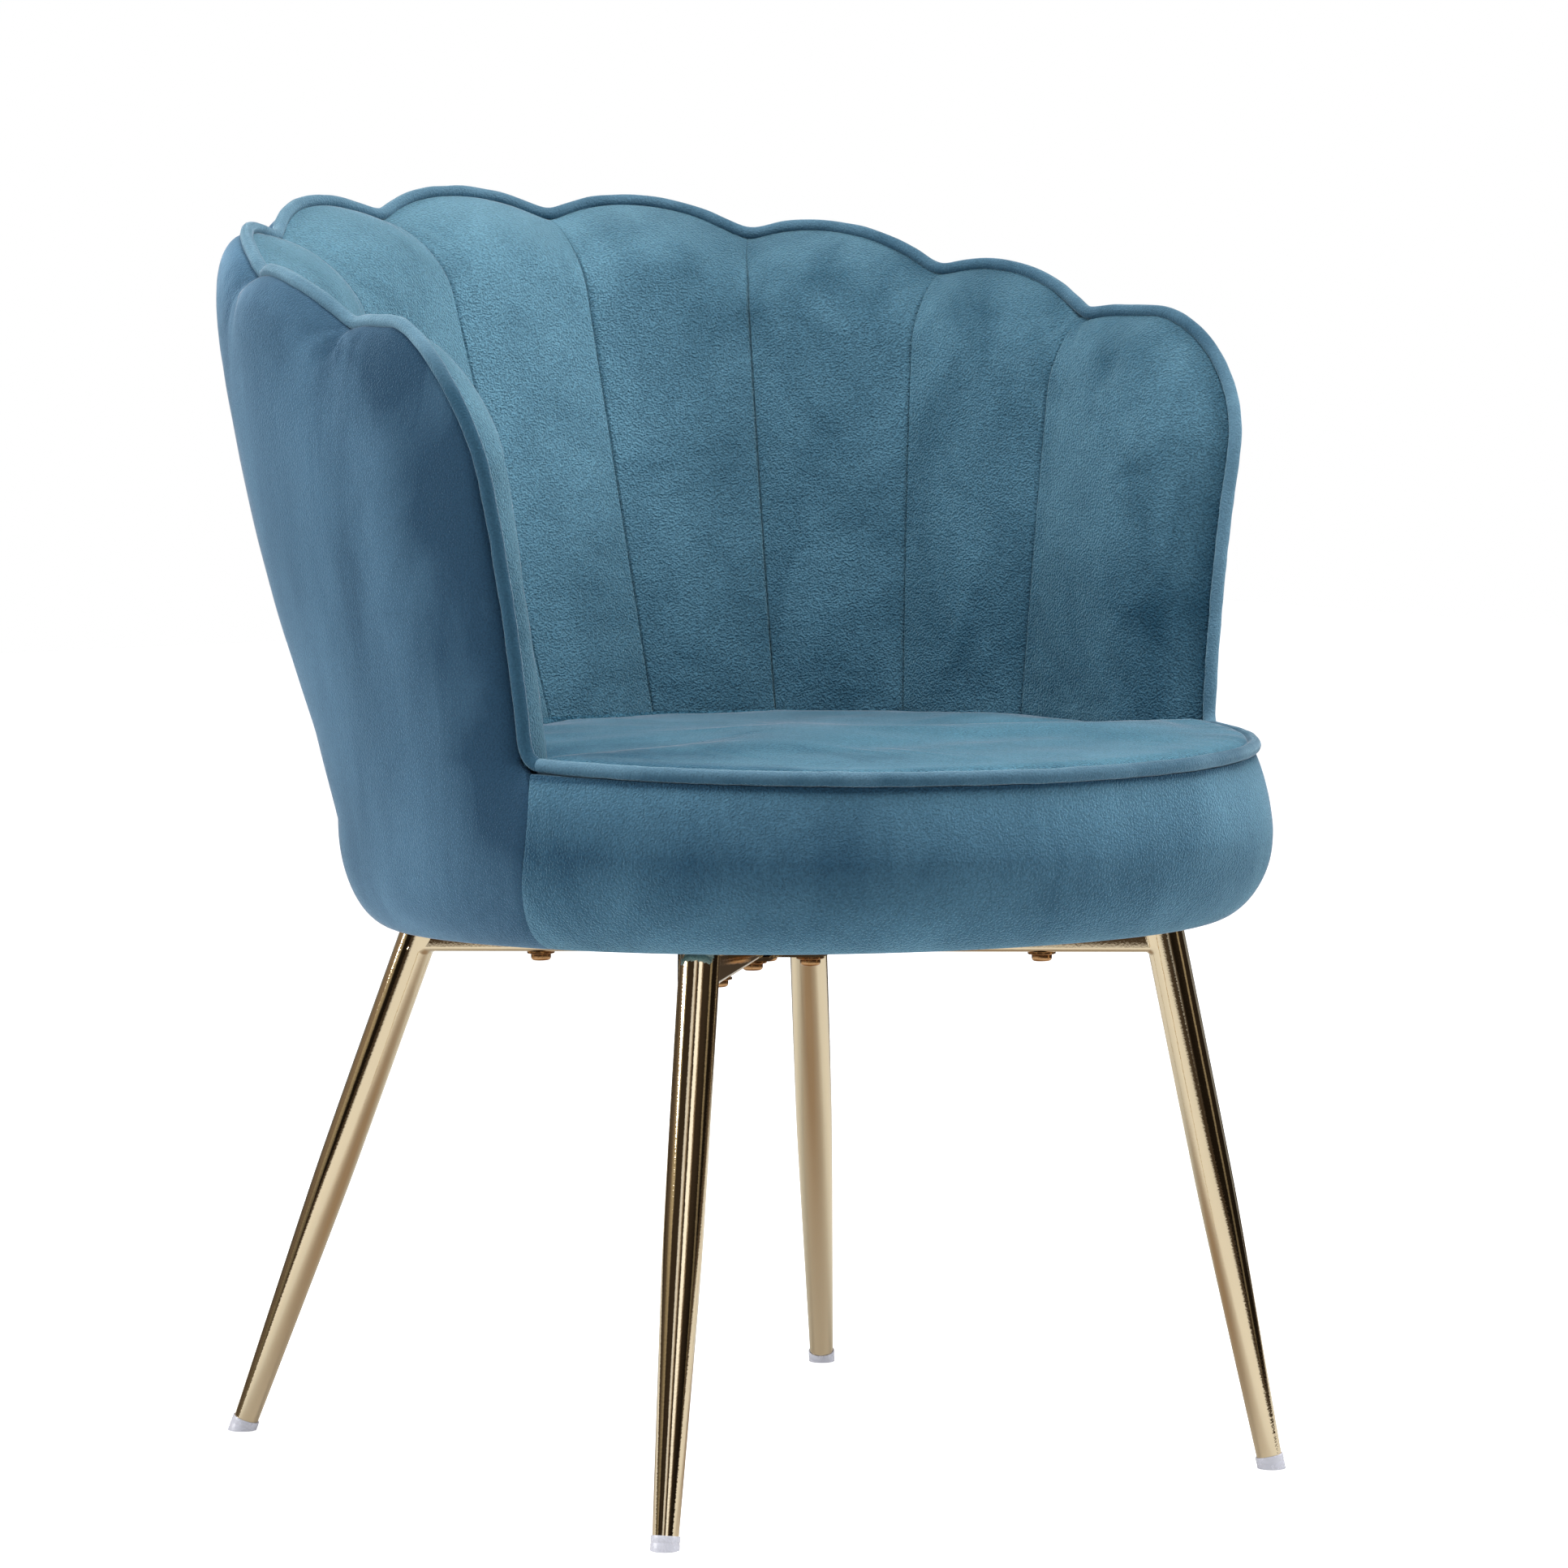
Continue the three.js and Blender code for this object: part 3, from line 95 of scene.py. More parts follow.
# %% Heights above the floor and small helpers
BOARD = 352.4                    # underside of the seat board
BOARD_THICK = 12
RIM = BOARD - 3.2                # underside of the padded rim
WIDEST = RIM + 65.8              # where the base stands out furthest
SHELL_FOOT = BOARD + BOARD_THICK + 1.6
KNUCKLE = SHELL_FOOT + 64        # the shell slopes in below this
SEAT = KNUCKLE + 41              # where the wings start
PAD_TOP = SEAT + 279             # where the back pads reach their upper thickness
SHELL_WIDE = SEAT + 229          # where the shell reaches its full width
VALLEYS = SEAT + 264             # between the petals, at the sides
WING_TOP = VALLEYS - 1
BACK_RIM = SEAT - 4              # the cushion's edge against the back
WING_FOOT = SEAT - 10 + 6
CORNER = 88                      # rounded front corner of a wing
CORNER_LOW = WING_TOP - CORNER
CORD = 4.3                       # radius of the piping round the back
SEAT_CORD = 4.5                  # and of the fatter piping round the seat
INSET = CORD - 0.4               # the covers run in under the cord this far from its middle
SOFT = 0.8                       # air between two padded pieces
GAP = 0.3                        # air between two hard ones
LEAN = math.radians(1.69)        # the leg frame and the board lean back by this
PIVOT_Y = -10                    # about this line
ARC = 290.5                      # radius on which stations are measured
QUARTER = ARC * math.pi / 2
PETAL = ARC * math.radians(27.2)
PETALS = 3.5                     # on each side, from the middle of the back to the wing's seam
LAST_SEAM = PETALS * PETAL


def mix(a, b, t):
    return a + (b - a) * t


def unit(x):
    return np.clip(x, 0, 1)


def bell(x, width):
    return np.exp(-(x / width) ** 2)


def stack(x, y, z):
    return np.stack(np.broadcast_arrays(x, y, z), axis=-1)


print("petals are", round(PETAL, 1), "mm apart along the edge")

# %% [markdown]
# ## The scalloped edge
# Each petal is a flat-topped arch. On the real chair the piping can't turn a sharp corner at a
# valley, so the arches are blurred a little before they are used. The wings end in a rounded
# corner that is squarer than a circle.

# %% Heights of the edge and the front edge of a wing
PETAL_POWER = 2.1                # roundness of a petal; 2 would be a parabola
PETAL_RISE = 16
BACK_RISE = 61.5                 # the valleys stand this much higher at the middle of the back
VALLEY_RUN = 26                  # length over which a wing rises out of its valley
CORNER_POWER = 1.65              # 2 would be a circle
CENTRE_Y = -42                   # plan centre at the widest height
CORE_LEAN, OUTER_LEAN = 0.27, 0.28              # how it moves back with height, in and out
WING_FRONT_TOP, WING_FRONT_SEAT = 133, 140      # how far a wing's front stands before the middle
SEAM_FORWARD, SEAM_RETURN = 16, 21              # the side seam's bend below the wing
BLUR_WIDTH = 0.028               # of a petal's width
petal_places = np.linspace(-0.5, 0.5, 401)
blur_steps = np.linspace(-3, 3, 61)
blur = np.exp(-0.5 * blur_steps ** 2)
petal_soft = np.zeros_like(petal_places)
for weight, offset in zip(blur / blur.sum(), blur_steps * BLUR_WIDTH):
    moved = (petal_places + offset + 0.5) % 1 - 0.5
    petal_soft += weight * (1 - (np.abs(moved) * 2) ** PETAL_POWER)


def petal_share(petals):
    return np.interp((petals + 0.5) % 1 - 0.5, petal_places, petal_soft)


def top_height(station):
    s = np.abs(station)
    petals = VALLEYS + BACK_RISE * np.cos(s / ARC) + PETAL_RISE * petal_share(s / PETAL)
    last = VALLEYS + BACK_RISE * math.cos(LAST_SEAM / ARC) + PETAL_RISE * petal_share(PETALS)
    run = unit((s - LAST_SEAM) / VALLEY_RUN)
    return np.where(s <= LAST_SEAM, petals, mix(last, WING_TOP, 1 - (1 - run) ** PETAL_POWER))


def core_centre(z):
    return CENTRE_Y + CORE_LEAN * (np.maximum(z, SHELL_FOOT) - WIDEST)


def front_edge_y(z):
    out = (1 - unit((z - CORNER_LOW) / CORNER) ** CORNER_POWER) ** (1 / CORNER_POWER)
    straight = -mix(WING_FRONT_SEAT, WING_FRONT_TOP, (z - WING_FOOT) / (CORNER_LOW - WING_FOOT))
    down = np.maximum(WING_FOOT - z, 0)
    swollen = SEAM_FORWARD * np.sqrt(1 - (1 - unit(down / 45)) ** 2)
    below = -WING_FRONT_SEAT - swollen + SEAM_RETURN * (down / (WING_FOOT - RIM)) ** 1.8
    rounded = -WING_FRONT_TOP + CORNER * (1 - out)
    return np.where(z >= CORNER_LOW, rounded, np.where(z >= WING_FOOT, straight, below))


def front_station(z):
    return QUARTER + core_centre(z) - front_edge_y(z)


def edge_line(per_petal, bottom):
    """Stations and heights of the piping line on the right, from the middle of the back."""
    s = np.linspace(0, LAST_SEAM, round(PETALS * per_petal) + 1)
    across = np.linspace(LAST_SEAM, front_station(WING_TOP), per_petal + 1)[1:]
    turn = np.linspace(0, math.pi / 2, per_petal * 2 + 1)[1:]
    corner = CORNER_LOW + CORNER * np.cos(turn).clip(0) ** (2 / CORNER_POWER)
    down = np.linspace(CORNER_LOW, WING_FOOT, per_petal * 2 + 1)[1:]
    stations = [s, across, front_station(corner), front_station(down)]
    heights = [top_height(s), top_height(across), corner, down]
    if bottom:
        stations.append([QUARTER + core_centre(KNUCKLE) + WING_FRONT_SEAT])
        heights.append([KNUCKLE])
    return np.concatenate(stations), np.concatenate(heights)


piping_line = edge_line(16, False)
pad_line = edge_line(16, True)
print("the piping line has", len(piping_line[0]), "points on each side")


# %% [markdown]
# ## From the line to surfaces
# Distance from the piping line decides how far a padded face has swollen: it starts at the
# piping and rounds off like a quarter ellipse. The same three small functions give the shell
# line, the outer face and the inner face, so the pieces meet along their whole length.

# %% Surfaces of the back
FOOT_R, SEAT_R, BASE_R = 250.3, 276, 287.8      # shell's foot, shell and cover above it
VALLEY_DRAW, VALLEY_FADE = 5, 36                # how far a valley is drawn in, and over what
WING_TUCK, WING_FLARE, WING_LENGTH = 21, -11, 145
OUTER_FLARE, OUTER_FULLNESS = 0.107, 5
RIM_TUCK = 38                                   # how far the base rolls under to its rim
PLAN_POWER = 2.1                                # how square the front of the base is
FRONT_REACH, UPPER_REACH = 325, 600             # front half axis of the base and of the wings
SEAM_CLOSE, SEAM_SLOPE = 0.855, 0.145           # seams stand closer at the seat, and closer below


def edge_distance(station, z, line):
    s = np.abs(station)
    best = np.full(np.broadcast(s, z).shape, np.inf)
    for s0, z0, s1, z1 in zip(line[0], line[1], line[0][1:], line[1][1:]):
        length_2 = (s1 - s0) ** 2 + (z1 - z0) ** 2
        t = unit(((s - s0) * (s1 - s0) + (z - z0) * (z1 - z0)) / length_2)
        best = np.minimum(best, np.hypot(s - mix(s0, s1, t), z - mix(z0, z1, t)))
    return best


def roll_share(distance, depth):
    return np.sqrt(1 - (1 - unit(distance / depth)) ** 2)


def from_seam(station, z, line):
    return np.maximum(edge_distance(station, z, line) - INSET, 0)


def outward(station):
    angle = np.clip(station / ARC, -math.pi / 2, math.pi / 2)
    return stack(np.sin(angle), np.cos(angle), 0.0)


def core_point(station, z):
    s = np.abs(station)
    side = np.where(station < 0, -1.0, 1.0)
    knee = np.maximum(z, KNUCKLE)
    radius = mix(SEAT_R, ARC, (knee - SEAT) / (PAD_TOP - SEAT))
    radius = mix(radius, FOOT_R, unit((KNUCKLE - z) / (KNUCKLE - SHELL_FOOT)))
    past = np.maximum(0, 1 - (s - LAST_SEAM) / VALLEY_FADE)
    drawn = np.where(s <= LAST_SEAM, 1 - petal_share(s / PETAL), past)
    fade = np.maximum(0, 1 - np.maximum(0, top_height(s) - z) / VALLEY_FADE) ** 2
    radius = radius - VALLEY_DRAW * drawn * fade
    angle = np.minimum(s, QUARTER) / ARC
    forward = np.maximum(s - QUARTER, 0)
    turn = mix(WING_TUCK, WING_FLARE, (knee - SEAT) / (SHELL_WIDE - SEAT))
    x = radius * np.sin(angle) - turn * (forward / WING_LENGTH) ** 2
    return stack(side * x, core_centre(z) + radius * np.cos(angle) - forward, z)


def outer_plan(z, lip=0.0):
    above = np.maximum(0, z - WIDEST)
    share = unit((z - SEAT) / (SHELL_WIDE - SEAT))
    roll = RIM_TUCK * (1 - np.sqrt(1 - unit((WIDEST - z) / (WIDEST - RIM)) ** 2)) + lip
    centre = CENTRE_Y + OUTER_LEAN * above
    radius = BASE_R + OUTER_FLARE * above + OUTER_FULLNESS * np.sin(math.pi * share) - roll
    return centre, radius, mix(FRONT_REACH, UPPER_REACH, share) - roll


def front_share(ahead):
    return (1 - unit(ahead) ** PLAN_POWER) ** (1 / PLAN_POWER)


def outer_full_point(station, z, lip=0.0):
    s = np.abs(station)
    side = np.where(station < 0, -1.0, 1.0)
    centre, radius, front = outer_plan(z, lip)
    angle = np.minimum(s, QUARTER) / ARC
    forward = s - QUARTER
    reach = core_centre(z) - front_edge_y(z)
    y = core_centre(z) - forward + (centre - core_centre(z)) * (1 - unit(forward / reach))
    behind = stack(side * radius * np.sin(angle), centre + radius * np.cos(angle), z)
    ahead = stack(side * radius * front_share((centre - y) / front), y, z)
    return np.where((forward <= 0)[..., None], behind, ahead)


def seam_share(z):
    share = np.clip((z - SEAT) / (PAD_TOP - SEAT), -1, 1)
    return mix(SEAM_CLOSE, 1, np.maximum(share, 0)) + SEAM_SLOPE * np.minimum(share, 0)


def settle(points, lift=0.0):
    low = unit((WIDEST - points[..., 2]) / (WIDEST - RIM))
    moved = points.copy()
    moved[..., 2] += lift - math.tan(LEAN) * (points[..., 1] - PIVOT_Y) * low
    return moved


print("edge distance at the middle of the back, 50 mm down:",
      round(float(edge_distance(0.0, top_height(0.0) - 50, piping_line)), 1))

# %% [markdown]
# ## A grid that becomes a pad
# Every padded piece starts as a flat bmesh grid. Each point remembers where it is across (u)
# and down (v) in two small layers. Extruding the whole sheet once gives it a back, and then
# the points are moved to where the upholstery is. This keeps the mesh clean and closed, and
# the pattern of quads follows the seams, as the cloth does.

# %% Grid helpers
def flat_grid(columns, rows, *more_layers):
    bm = bmesh.new()
    layers = [bm.verts.layers.float.new(name) for name in ("u", "v", *more_layers)]
    bmesh.ops.create_grid(bm, x_segments=columns, y_segments=rows, size=0.5)
    for vert in bm.verts:
        vert[layers[0]] = vert.co.x + 0.5
        vert[layers[1]] = vert.co.y + 0.5
    return bm, layers


def pad_grid(columns, rows):
    """Two sheets joined round their borders; face is 1 on the outer one and 0 on its back."""
    bm, layers = flat_grid(columns, rows, "face")
    grown = bmesh.ops.extrude_face_region(bm, geom=bm.faces[:])
    for item in grown["geom"]:
        if isinstance(item, bmesh.types.BMVert):
            item[layers[2]] = 1.0
    return bm


def to_object(name, bm):
    mesh = bpy.data.meshes.new(name)
    bm.to_mesh(mesh)
    bm.free()
    return add_object(name, mesh)


def layers_of(piece, *names):
    found = []
    for name in names:
        values = np.empty(len(piece.data.vertices), dtype=np.float32)
        piece.data.attributes[name].data.foreach_get("value", values)
        found.append(values.astype(float))
    return found


def evaluated(piece):
    return piece.evaluated_get(bpy.context.evaluated_depsgraph_get())


def coordinates(mesh):
    flat = np.empty(len(mesh.vertices) * 3, dtype=np.float32)
    mesh.vertices.foreach_get("co", flat)
    return flat.reshape(-1, 3).astype(float)


print("coordinates, grids and pieces are ready")

# %% Write and finish helpers
FRAME_SHIFT = np.array([0, shift_back, 0])


def write_pile_and_light(mesh, pile_and_painted_light):
    """The values give each point's tone from -1, deep, to 1, pale: painted light and shade with
    some random unevenness of the pile.
    """
    lay = mesh.attributes.new("pile_and_painted_light", "FLOAT", "POINT")
    lay.data.foreach_set("value", pile_and_painted_light.astype(np.float32))


def smooth_outward(bm):
    bmesh.ops.recalc_face_normals(bm, faces=bm.faces[:])
    for face in bm.faces:
        face.smooth = True


# The tone values passed in carry painted light and shade.
def place_points(piece, millimetres, merge=False, crisp=40, pile_and_painted_light=None):
    """Writes the points in metres, turns faces outward and smooths all but sharp edges."""
    metres = (millimetres + FRAME_SHIFT) / 1000
    piece.data.vertices.foreach_set("co", metres.astype(np.float32).ravel())
    if pile_and_painted_light is not None:
        write_pile_and_light(piece.data, pile_and_painted_light)
    bm = bmesh.new()
    bm.from_mesh(piece.data)
    if merge:
        bmesh.ops.remove_doubles(bm, verts=bm.verts[:], dist=0.00002)
        bmesh.ops.dissolve_degenerate(bm, edges=bm.edges[:], dist=0.00001)
    smooth_outward(bm)
    bm.to_mesh(piece.data)
    bm.free()
    for name in ("u", "v", "face"):
        if name in piece.data.attributes:
            piece.data.attributes.remove(piece.data.attributes[name])
    piece.data.set_sharp_from_angle(angle=math.radians(crisp))


def belongs(piece, slot, finish, *nodes):
    piece.data.materials.clear()
    piece.data.materials.append(finish)
    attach(piece, "root")
    if nodes:
        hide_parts(*nodes)
    print(piece.name, "has", len(piece.data.polygons), "faces")


def ripple(points, size, seed):
    """Smooth, repeatable unevenness from -1 to 1, with waves about as long as size."""
    rng = np.random.default_rng(seed)
    total = np.zeros(points.shape[:-1])
    for _ in range(9):
        way = rng.normal(size=3)
        way /= np.linalg.norm(way)
        wave = size * rng.uniform(0.7, 1.6)
        total += np.sin(points @ way * (2 * math.pi / wave) + rng.uniform(0, 2 * math.pi))
    return total / 4.5


print("frame shift written to every piece:", FRAME_SHIFT.round(2), "mm")

# %% [markdown]
# ## Colours and the node helper
# Colours are written as they look on a screen and turned to the linear values that the
# renderer counts in. One helper adds a node, sets it and links it. Every pattern reads Object
# coordinates in metres, so a grain of two millimetres stays two millimetres on every piece.

# %% Colour and node helpers
def to_linear(hex_colour):
    parts = [int(hex_colour[i:i + 2], 16) / 255 for i in (1, 3, 5)]
    return [c / 12.92 if c <= 0.04045 else ((c + 0.055) / 1.055) ** 2.4 for c in parts] + [1.0]


def add_node(tree, kind, inputs=None, **settings):
    made = tree.nodes.new(kind)
    for key, value in settings.items():
        setattr(made, key, value)
    for socket, value in (inputs or {}).items():
        if isinstance(value, bpy.types.NodeSocket):
            tree.links.new(value, made.inputs[socket])
        else:
            made.inputs[socket].default_value = value
    return made


def new_finish(name):
    finish = bpy.data.materials.new(name)
    finish.use_nodes = True
    finish.node_tree.nodes.clear()
    return finish, finish.node_tree


print("velvet blue in linear light:", [round(c, 3) for c in to_linear("#3f7290")])


# %% [markdown]
# ## Velvet
# The cover is polyester velvet: a short dense pile on a woven back. Light that meets the pile
# head on sinks in, and light that grazes it comes back pale, which is why the rolled edges
# glow. The sheen of the shader does that, and at the very rim, where only the tips of the pile
# show, its tint turns nearly white. Pile brushed one way looks deep, brushed the other way
# pale. Each piece carries an attribute that chooses between the deep and the pale tone. It
# holds painted light and shade, paler where light falls and darker in creases and under the
# piping, together with random unevenness of the pile. Soft clouds are added to it because no
# pile is combed evenly, and close up there is a pebbly grain of one to two millimetres, drawn
# a little coarser than the real one so that it shows.

# %% Velvet finish
CLOUD_MM, PILE_MM = 70, 0.7
RIM_FUZZ = "#e2e8f6"


def velvet(name, deep, pale, sheen_tint, pebble_mm, streak, pebble_depth, fleck):
    """deep and pale are the tones that painted light and shade choose between; streak draws its
    clouds out upright.
    """
    finish, tree = new_finish(name)
    place = add_node(tree, "ShaderNodeTexCoord")
    stretched = add_node(tree, "ShaderNodeMapping",
                         {"Vector": place.outputs["Object"], "Scale": (1, 1, streak)})
    clouds = add_node(tree, "ShaderNodeTexNoise",
                      {"Vector": stretched.outputs["Vector"], "Scale": 1000 / CLOUD_MM,
                       "Detail": 5.0, "Roughness": 0.6, "Distortion": 0.6})
    brushed = add_node(tree, "ShaderNodeMapRange",
                       {"Value": clouds.outputs["Fac"], "From Min": 0.34, "From Max": 0.66,
                        "To Min": 0.3, "To Max": 0.7})
    # This attribute holds painted light and shade. It picks the colour between deep and pale, and
    # also sets the roughness and the sheen weight.
    lay = add_node(tree, "ShaderNodeAttribute", attribute_name="pile_and_painted_light")
    share = add_node(tree, "ShaderNodeMath",
                     {0: lay.outputs["Fac"], 1: 0.5, 2: brushed.outputs["Result"]},
                     operation="MULTIPLY_ADD", use_clamp=True)
    shade = add_node(tree, "ShaderNodeMix",
                     {0: share.outputs[0], 6: to_linear(deep), 7: to_linear(pale)},
                     data_type="RGBA")
    pebbles = add_node(tree, "ShaderNodeTexNoise",
                       {"Vector": place.outputs["Object"], "Scale": 1000 / pebble_mm,
                        "Detail": 1.0, "Roughness": 0.5})
    pile = add_node(tree, "ShaderNodeTexNoise",
                    {"Vector": place.outputs["Object"], "Scale": 1000 / PILE_MM, "Detail": 1.0})
    speck = add_node(tree, "ShaderNodeMapRange",
                     {"Value": pebbles.outputs["Fac"], "From Min": 0.38, "From Max": 0.62,
                      "To Min": 1 - fleck, "To Max": 1 + fleck})
    tinted = add_node(tree, "ShaderNodeVectorMath",
                      {0: shade.outputs[2], 1: speck.outputs["Result"]}, operation="MULTIPLY")
    low = add_node(tree, "ShaderNodeBump",
                   {"Height": pebbles.outputs["Fac"], "Strength": 1.0, "Distance": pebble_depth})
    high = add_node(tree, "ShaderNodeBump",
                    {"Height": pile.outputs["Fac"], "Strength": 0.4, "Distance": 0.0004,
                     "Normal": low.outputs["Normal"]})
    rough = add_node(tree, "ShaderNodeMapRange",
                     {"Value": share.outputs[0], "To Min": 0.9, "To Max": 0.62})
    grazing = add_node(tree, "ShaderNodeLayerWeight", {"Blend": 0.3})
    glow = add_node(tree, "ShaderNodeMapRange",
                    {"Value": share.outputs[0], "To Min": 0.35, "To Max": 0.85})
    rim_glow = add_node(tree, "ShaderNodeMath",
                        {0: grazing.outputs["Facing"], 1: 0.6, 2: glow.outputs["Result"]},
                        operation="MULTIPLY_ADD", use_clamp=True)
    edge_on = add_node(tree, "ShaderNodeMath", {0: grazing.outputs["Facing"], 1: 12.0},
                       operation="POWER")
    at_rim = add_node(tree, "ShaderNodeMath", {0: edge_on.outputs[0], 1: 5.0},
                      operation="MULTIPLY", use_clamp=True)
    gloss = add_node(tree, "ShaderNodeMapRange",
                     {"Value": at_rim.outputs[0], "To Min": 0.25, "To Max": 1.0})
    fuzz = add_node(tree, "ShaderNodeMix",
                    {0: at_rim.outputs[0], 6: to_linear(sheen_tint), 7: to_linear(RIM_FUZZ)},
                    data_type="RGBA")
    shader = add_node(tree, "ShaderNodeBsdfPrincipled",
                      {"Base Color": tinted.outputs["Vector"],
                       "Roughness": rough.outputs["Result"],
                       "Normal": high.outputs["Normal"], "IOR": 1.45,
                       "Specular IOR Level": gloss.outputs["Result"],
                       "Sheen Weight": rim_glow.outputs[0], "Sheen Roughness": 0.32,
                       "Sheen Tint": fuzz.outputs[2]})
    add_node(tree, "ShaderNodeOutputMaterial", {"Surface": shader.outputs["BSDF"]})
    return finish


# One velvet covers the chair. These five copies have their own tones: partly the pile running its
# own way on each piece, and partly painted light and shade, deepest on the outside and the apron.
velvet_inner = velvet("velvet_channels", "#2d556a", "#6999af", "#a2cfe0", 1.4, 0.8, 0.0024, 0.17)
velvet_seat = velvet("velvet_seat", "#2e5b74", "#5a91a9", "#92c6da", 1.5, 0.6, 0.0032, 0.26)
velvet_outer = velvet("velvet_outside", "#26465e", "#557d98", "#9fc6e2", 1.1, 0.35, 0.0010, 0.1)
velvet_apron = velvet("velvet_apron", "#294e66", "#56849c", "#98c8de", 1.4, 0.5, 0.0019, 0.13)
velvet_piping = velvet("velvet_piping", "#2f546a", "#688fa4", "#b4d6e6", 1.2, 1.0, 0.0009, 0.08)
print("velvets:", velvet_inner.name, velvet_outer.name, velvet_piping.name)

# %% [markdown]
# ## Polished gold, bolts and washers
# The legs are steel tube with a thin gold-coloured coating over a mirror polish. A mirror has
# no colour of its own beyond its tint, so the finish needs very low roughness, a warm base
# colour and something to reflect. Drawn tube is never quite true along its length, and faint
# long waves in the surface make the reflections wander as they do on the real legs.

# %% Metal finishes
def plated(name, colour, roughness, wave_mm, wave_depth):
    finish, tree = new_finish(name)
    place = add_node(tree, "ShaderNodeTexCoord")
    long_way = add_node(tree, "ShaderNodeMapping",
                        {"Vector": place.outputs["Object"], "Scale": (1, 1, 0.12)})
    waves = add_node(tree, "ShaderNodeTexNoise",
                     {"Vector": long_way.outputs["Vector"], "Scale": 1000 / wave_mm,
                      "Detail": 2.0, "Roughness": 0.4})
    peened = add_node(tree, "ShaderNodeTexNoise",
                      {"Vector": place.outputs["Object"], "Scale": 1000 / 1.4, "Detail": 1.0})
    haze = add_node(tree, "ShaderNodeTexNoise",
                    {"Vector": place.outputs["Object"], "Scale": 60.0, "Detail": 3.0})
    wiped = add_node(tree, "ShaderNodeMapRange",
                     {"Value": haze.outputs["Fac"], "From Min": 0.3, "From Max": 0.8,
                      "To Min": roughness, "To Max": roughness * 1.9})
    bump = add_node(tree, "ShaderNodeBump",
                    {"Height": waves.outputs["Fac"], "Strength": 0.3, "Distance": wave_depth})
    orange_peel = add_node(tree, "ShaderNodeBump",
                           {"Height": peened.outputs["Fac"], "Strength": 0.22, "Distance": 0.0001,
                            "Normal": bump.outputs["Normal"]})
    shader = add_node(tree, "ShaderNodeBsdfPrincipled",
                      {"Base Color": to_linear(colour), "Metallic": 1.0,
                       "Roughness": wiped.outputs["Result"],
                       "Normal": orange_peel.outputs["Normal"]})
    add_node(tree, "ShaderNodeOutputMaterial", {"Surface": shader.outputs["BSDF"]})
    return finish


gold_tube = plated("gold_plated_steel", "#eeddbe", 0.03, 9, 0.0003)
brass_bolt = plated("copper_gold_bolt", "#c79b6e", 0.09, 3, 0.0001)
zinc_plate = plated("bright_zinc_plate", "#c3c3c0", 0.22, 2, 0.0001)
print("metals:", gold_tube.name, brass_bolt.name, zinc_plate.name)

# %% [markdown]
# ## Clear caps, plywood, foam and the dust cover
# The feet wear caps of soft clear plastic, milky where they are thick. The seat board is birch
# plywood, the filling is cut foam with open cells, and the underside is closed by black
# non-woven cloth, which is pressed from short fibres in a grid of tiny dots.

# %% Plastic, wood, foam and non-woven cloth
CELL_MM, DOT_MM = 1.5, 2.4       # cells of the foam, and dots pressed in the cloth

clear_cap, tree = new_finish("clear_vinyl_cap")
place = add_node(tree, "ShaderNodeTexCoord")
milk = add_node(tree, "ShaderNodeTexNoise",
                {"Vector": place.outputs["Object"], "Scale": 220.0, "Detail": 3.0})
rough = add_node(tree, "ShaderNodeMapRange",
                 {"Value": milk.outputs["Fac"], "To Min": 0.18, "To Max": 0.36})
dent = add_node(tree, "ShaderNodeBump",
                {"Height": milk.outputs["Fac"], "Strength": 0.06, "Distance": 0.0003})
shader = add_node(tree, "ShaderNodeBsdfPrincipled",
                  {"Base Color": to_linear("#e0e0ea"), "Roughness": rough.outputs["Result"],
                   "Normal": dent.outputs["Normal"], "IOR": 1.52, "Transmission Weight": 0.12})
add_node(tree, "ShaderNodeOutputMaterial", {"Surface": shader.outputs["BSDF"]})

birch_ply, tree = new_finish("birch_plywood")
place = add_node(tree, "ShaderNodeTexCoord")
along = add_node(tree, "ShaderNodeMapping",
                 {"Vector": place.outputs["Object"], "Scale": (1, 9, 1)})
grain = add_node(tree, "ShaderNodeTexNoise",
                 {"Vector": along.outputs["Vector"], "Scale": 26.0, "Detail": 6.0,
                  "Distortion": 0.8})
wood = add_node(tree, "ShaderNodeMix",
                {0: grain.outputs["Fac"], 6: to_linear("#b8935f"), 7: to_linear("#d9bd8c")},
                data_type="RGBA")
ridge = add_node(tree, "ShaderNodeBump",
                 {"Height": grain.outputs["Fac"], "Strength": 0.2, "Distance": 0.0004})
shader = add_node(tree, "ShaderNodeBsdfPrincipled",
                  {"Base Color": wood.outputs[2], "Roughness": 0.62,
                   "Normal": ridge.outputs["Normal"]})
add_node(tree, "ShaderNodeOutputMaterial", {"Surface": shader.outputs["BSDF"]})

cut_foam, tree = new_finish("cut_foam")
place = add_node(tree, "ShaderNodeTexCoord")
cells = add_node(tree, "ShaderNodeTexVoronoi",
                 {"Vector": place.outputs["Object"], "Scale": 1000 / CELL_MM})
pits = add_node(tree, "ShaderNodeBump",
                {"Height": cells.outputs["Distance"], "Strength": 0.6, "Distance": 0.0006})
tone = add_node(tree, "ShaderNodeMix",
                {0: cells.outputs["Distance"], 6: to_linear("#e6dab8"), 7: to_linear("#f3ead0")},
                data_type="RGBA")
shader = add_node(tree, "ShaderNodeBsdfPrincipled",
                  {"Base Color": tone.outputs[2], "Roughness": 0.95,
                   "Normal": pits.outputs["Normal"]})
add_node(tree, "ShaderNodeOutputMaterial", {"Surface": shader.outputs["BSDF"]})

